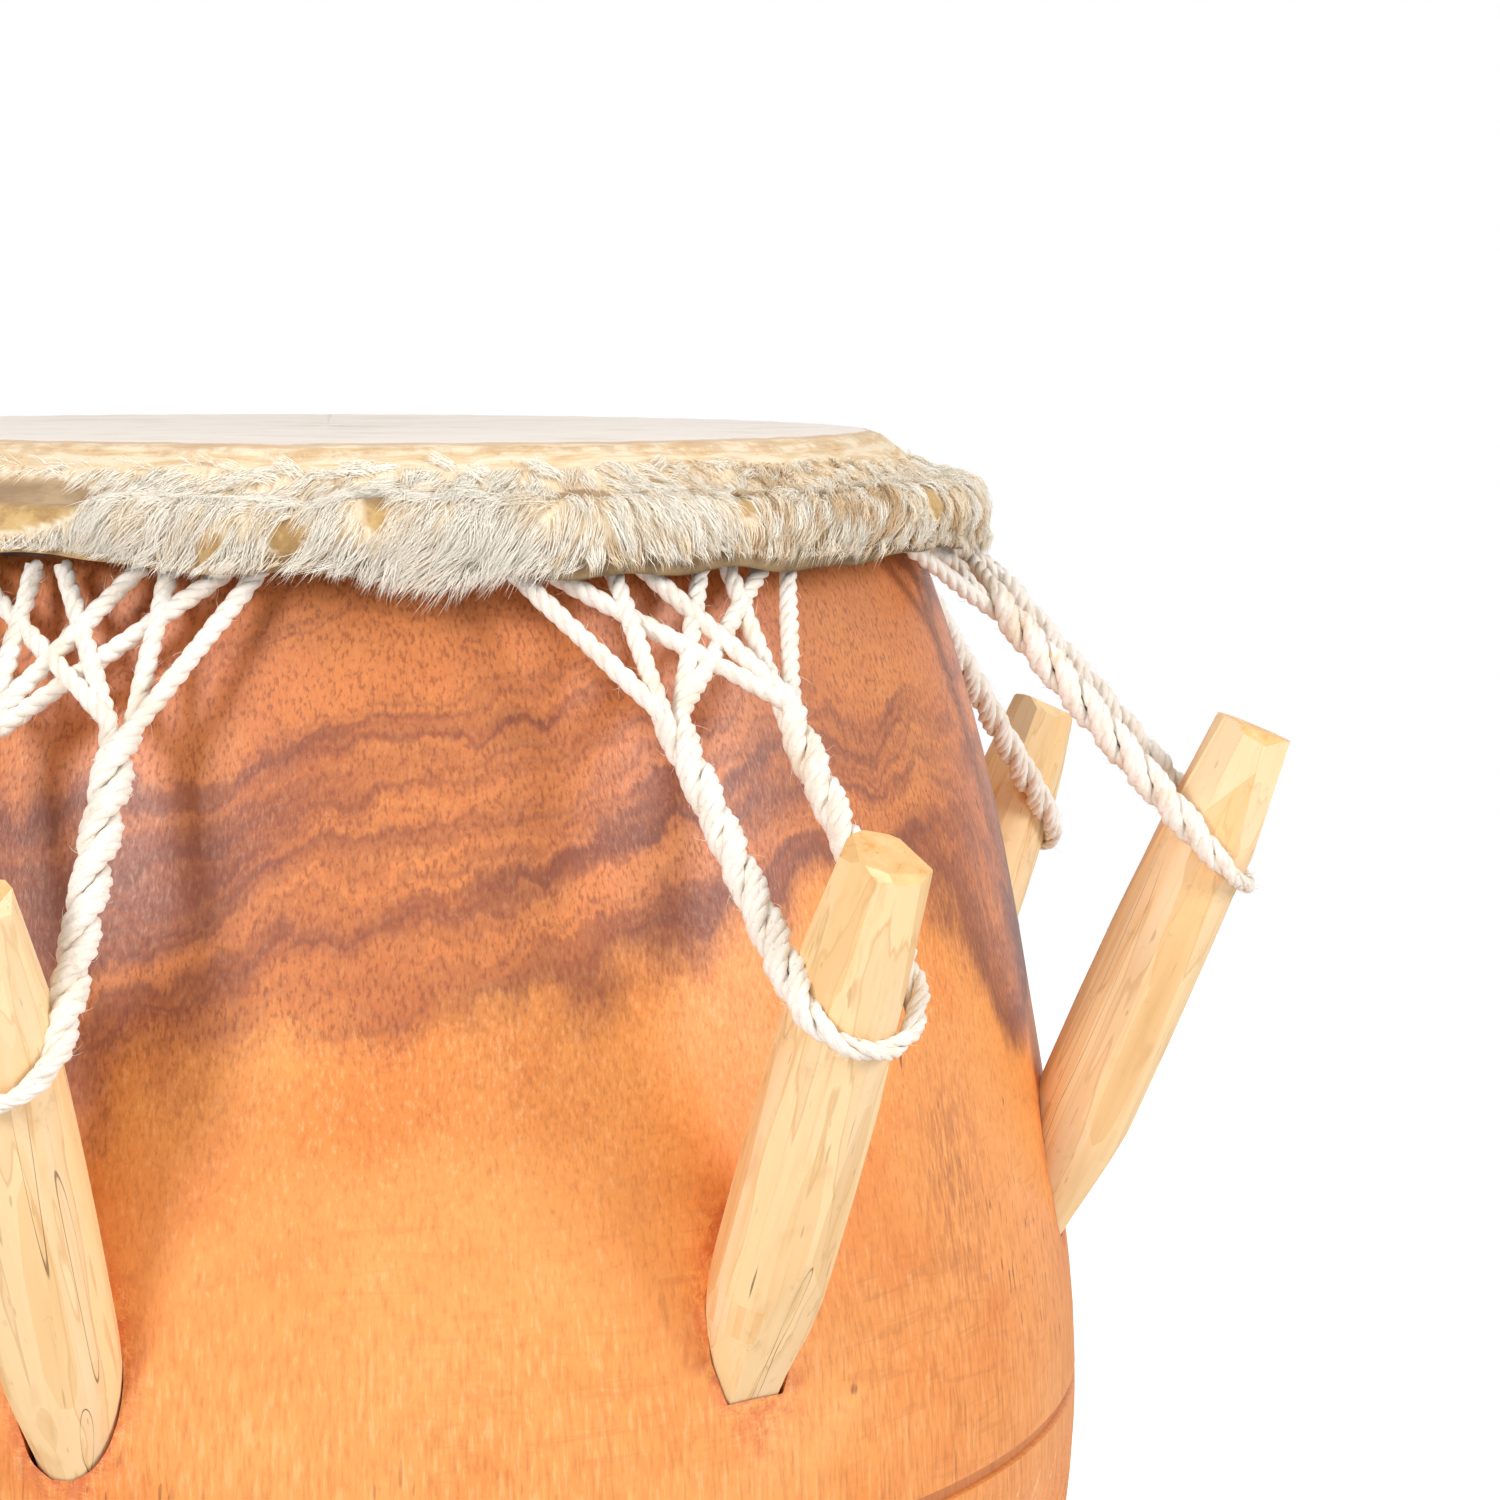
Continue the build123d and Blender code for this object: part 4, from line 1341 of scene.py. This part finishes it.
def loose_fibres(route, size, rng):
    """Short fibres that stand off a cord and curl along it."""
    fibres = []
    for _ in range(FIBRES):
        at = rng.integers(4, len(route) - 5)
        way = route[at + 3] - route[at - 3]
        way /= np.linalg.norm(way)
        stand = rng.normal(size=3)
        stand -= way * stand.dot(way)
        stand /= np.linalg.norm(stand)
        start = route[at] + stand * size[at] * 0.85
        reach = rng.uniform(0.8, 3.0) * MM
        along = way * rng.choice((-1, 1)) + rng.normal(size=3) * 0.3
        fibres.append([start + (stand * s * 0.55 + along * s * s * 0.9) * reach for s in (0, 0.35, 0.7, 1.0)])
    return fibres


def lay(name, hitch, seed):
    """The plies of one peg's cords as one mesh, and the fibres that stand off them."""
    rng = np.random.default_rng(seed)
    data = bpy.data.curves.new(name, "CURVE")
    data.dimensions = "3D"
    data.bevel_depth = 1.0
    data.bevel_resolution = 1
    data.use_fill_caps = True
    fibres = []
    for route, runs, size in cord_routes(hitch, seed):
        wobble = 1 + 0.05 * np.sin(runs / (3.1 * MM) + rng.uniform(0, 6)) * rng.uniform(0.5, 1)
        for ply in range(PLIES):
            line = wound(route, runs, size * 0.42 * wobble, CORD_PITCH, math.tau * ply / PLIES)
            spline = data.splines.new("POLY")
            spline.points.add(len(line) - 1)
            spline.points.foreach_set("co", np.column_stack([line, np.ones(len(line))]).ravel())
            spline.points.foreach_set("radius", size * 0.6 * wobble)
        fibres += loose_fibres(route, size, rng)
    return as_mesh(data, name), np.array(fibres)


STAINS = (0.15, 0.1, 0.6, 0.8, 0.3, 0.2, 0.5, 0.2)


def mark_cord(mesh, hitch, stained):
    """Dirt where the cord bears on the peg's outer side, and how yellow this peg's cord has gone."""
    points = points_of(mesh)
    bottom = np.array(hitch.point(-6 * MM, -hitch.dip - hitch.round * 0.9))
    away = np.linalg.norm(points - bottom, axis=1)
    remember(mesh, "soot", np.clip(1 - (away - 5 * MM) / (7 * MM), 0, 1))
    remember(mesh, "stained", np.full(len(points), stained))


for number, place in enumerate(places, start=1):
    hitch = Hitch(place, GATHER_DROPS[number - 1])
    mesh, fibres = lay(f"cotton_lacing_{number}", hitch, 300 + number)
    mark_cord(mesh, hitch, STAINS[number - 1])
    lacing = keep(f"cotton_lacing_{number}", mesh, laid_cotton)
    widths = np.full(len(fibres), 0.045 * MM)
    fuzz = keep(f"cotton_fuzz_{number}", spikes(f"cotton_fuzz_{number}", fibres, widths), cotton_fuzz)
    for piece in (lacing, fuzz):
        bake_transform(piece)
    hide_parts(f"lacing_{number}")
print("cord triangles", len(mesh.polygons) * 2 * PEGS)

# %% [markdown]
# A white floor that looks white to the camera but still takes the drum's shadow, and broad soft lamps on
# both sides, as in a product photograph. The world lights evenly, and only the camera, mirrors and glass
# see it as pure white.


# %% Floor, world and lamps
def white_floor():
    material = bpy.data.materials.new("white_floor")
    material.use_nodes = True
    nodes, links = material.node_tree.nodes, material.node_tree.links
    nodes.clear()
    output = nodes.new("ShaderNodeOutputMaterial")
    diffuse = nodes.new("ShaderNodeBsdfDiffuse")
    diffuse.inputs["Color"].default_value = (0.85, 0.85, 0.85, 1)
    glow = nodes.new("ShaderNodeEmission")
    path = nodes.new("ShaderNodeLightPath")
    seen = nodes.new("ShaderNodeMath")
    seen.operation = "MULTIPLY"
    seen.inputs[1].default_value = 0.85
    links.new(path.outputs["Is Camera Ray"], seen.inputs[0])
    links.new(seen.outputs[0], glow.inputs["Strength"])
    both = nodes.new("ShaderNodeAddShader")
    links.new(diffuse.outputs[0], both.inputs[0])
    links.new(glow.outputs[0], both.inputs[1])
    links.new(both.outputs[0], output.inputs["Surface"])
    return material


bm = bmesh.new()
bmesh.ops.create_circle(bm, cap_ends=True, segments=96, radius=3.0)
floor = bpy.data.objects.new("floor", mesh_of(bm, "floor"))
bpy.context.collection.objects.link(floor)
floor.data.materials.append(white_floor())

world = bpy.data.worlds.new("studio")
bpy.context.scene.world = world
world.use_nodes = True
world_nodes, world_links = world.node_tree.nodes, world.node_tree.links
background = world_nodes["Background"]
background.inputs["Color"].default_value = (1, 1, 1, 1)
path = world_nodes.new("ShaderNodeLightPath")
AMBIENT = 0.27
seen = path.outputs["Is Camera Ray"]
for other in ("Is Glossy Ray", "Is Transmission Ray"):
    either = world_nodes.new("ShaderNodeMath")
    either.operation = "MAXIMUM"
    world_links.new(seen, either.inputs[0])
    world_links.new(path.outputs[other], either.inputs[1])
    seen = either.outputs[0]
strength = world_nodes.new("ShaderNodeMapRange")
strength.inputs["To Min"].default_value = AMBIENT
strength.inputs["To Max"].default_value = 1.0
world_links.new(seen, strength.inputs["Value"])
world_links.new(strength.outputs["Result"], background.inputs["Strength"])


def lamp(name, azimuth, distance, height, size, power, aim=(0, 0, 0.5)):
    data = bpy.data.lights.new(name, "AREA")
    data.shape = "RECTANGLE"
    data.size = size
    data.size_y = size * 1.3
    data.energy = power
    light = bpy.data.objects.new(name, data)
    bpy.context.collection.objects.link(light)
    spot = outwards(math.radians(azimuth)) * distance + Vector((0, 0, height))
    light.location = spot
    light.rotation_mode = "QUATERNION"
    light.rotation_quaternion = (Vector(aim) - spot).to_track_quat("-Z", "Y")
    return light


lamp("left_softbox", -34, 1.7, 1.2, 0.45, 18.5)
lamp("right_softbox", 62, 1.8, 1.25, 0.55, 19.5)
lamp("overhead", 8, 0.5, 2.3, 1.2, 10)
lamp("front_fill", 14, 2.3, 0.55, 1.1, 5.5)
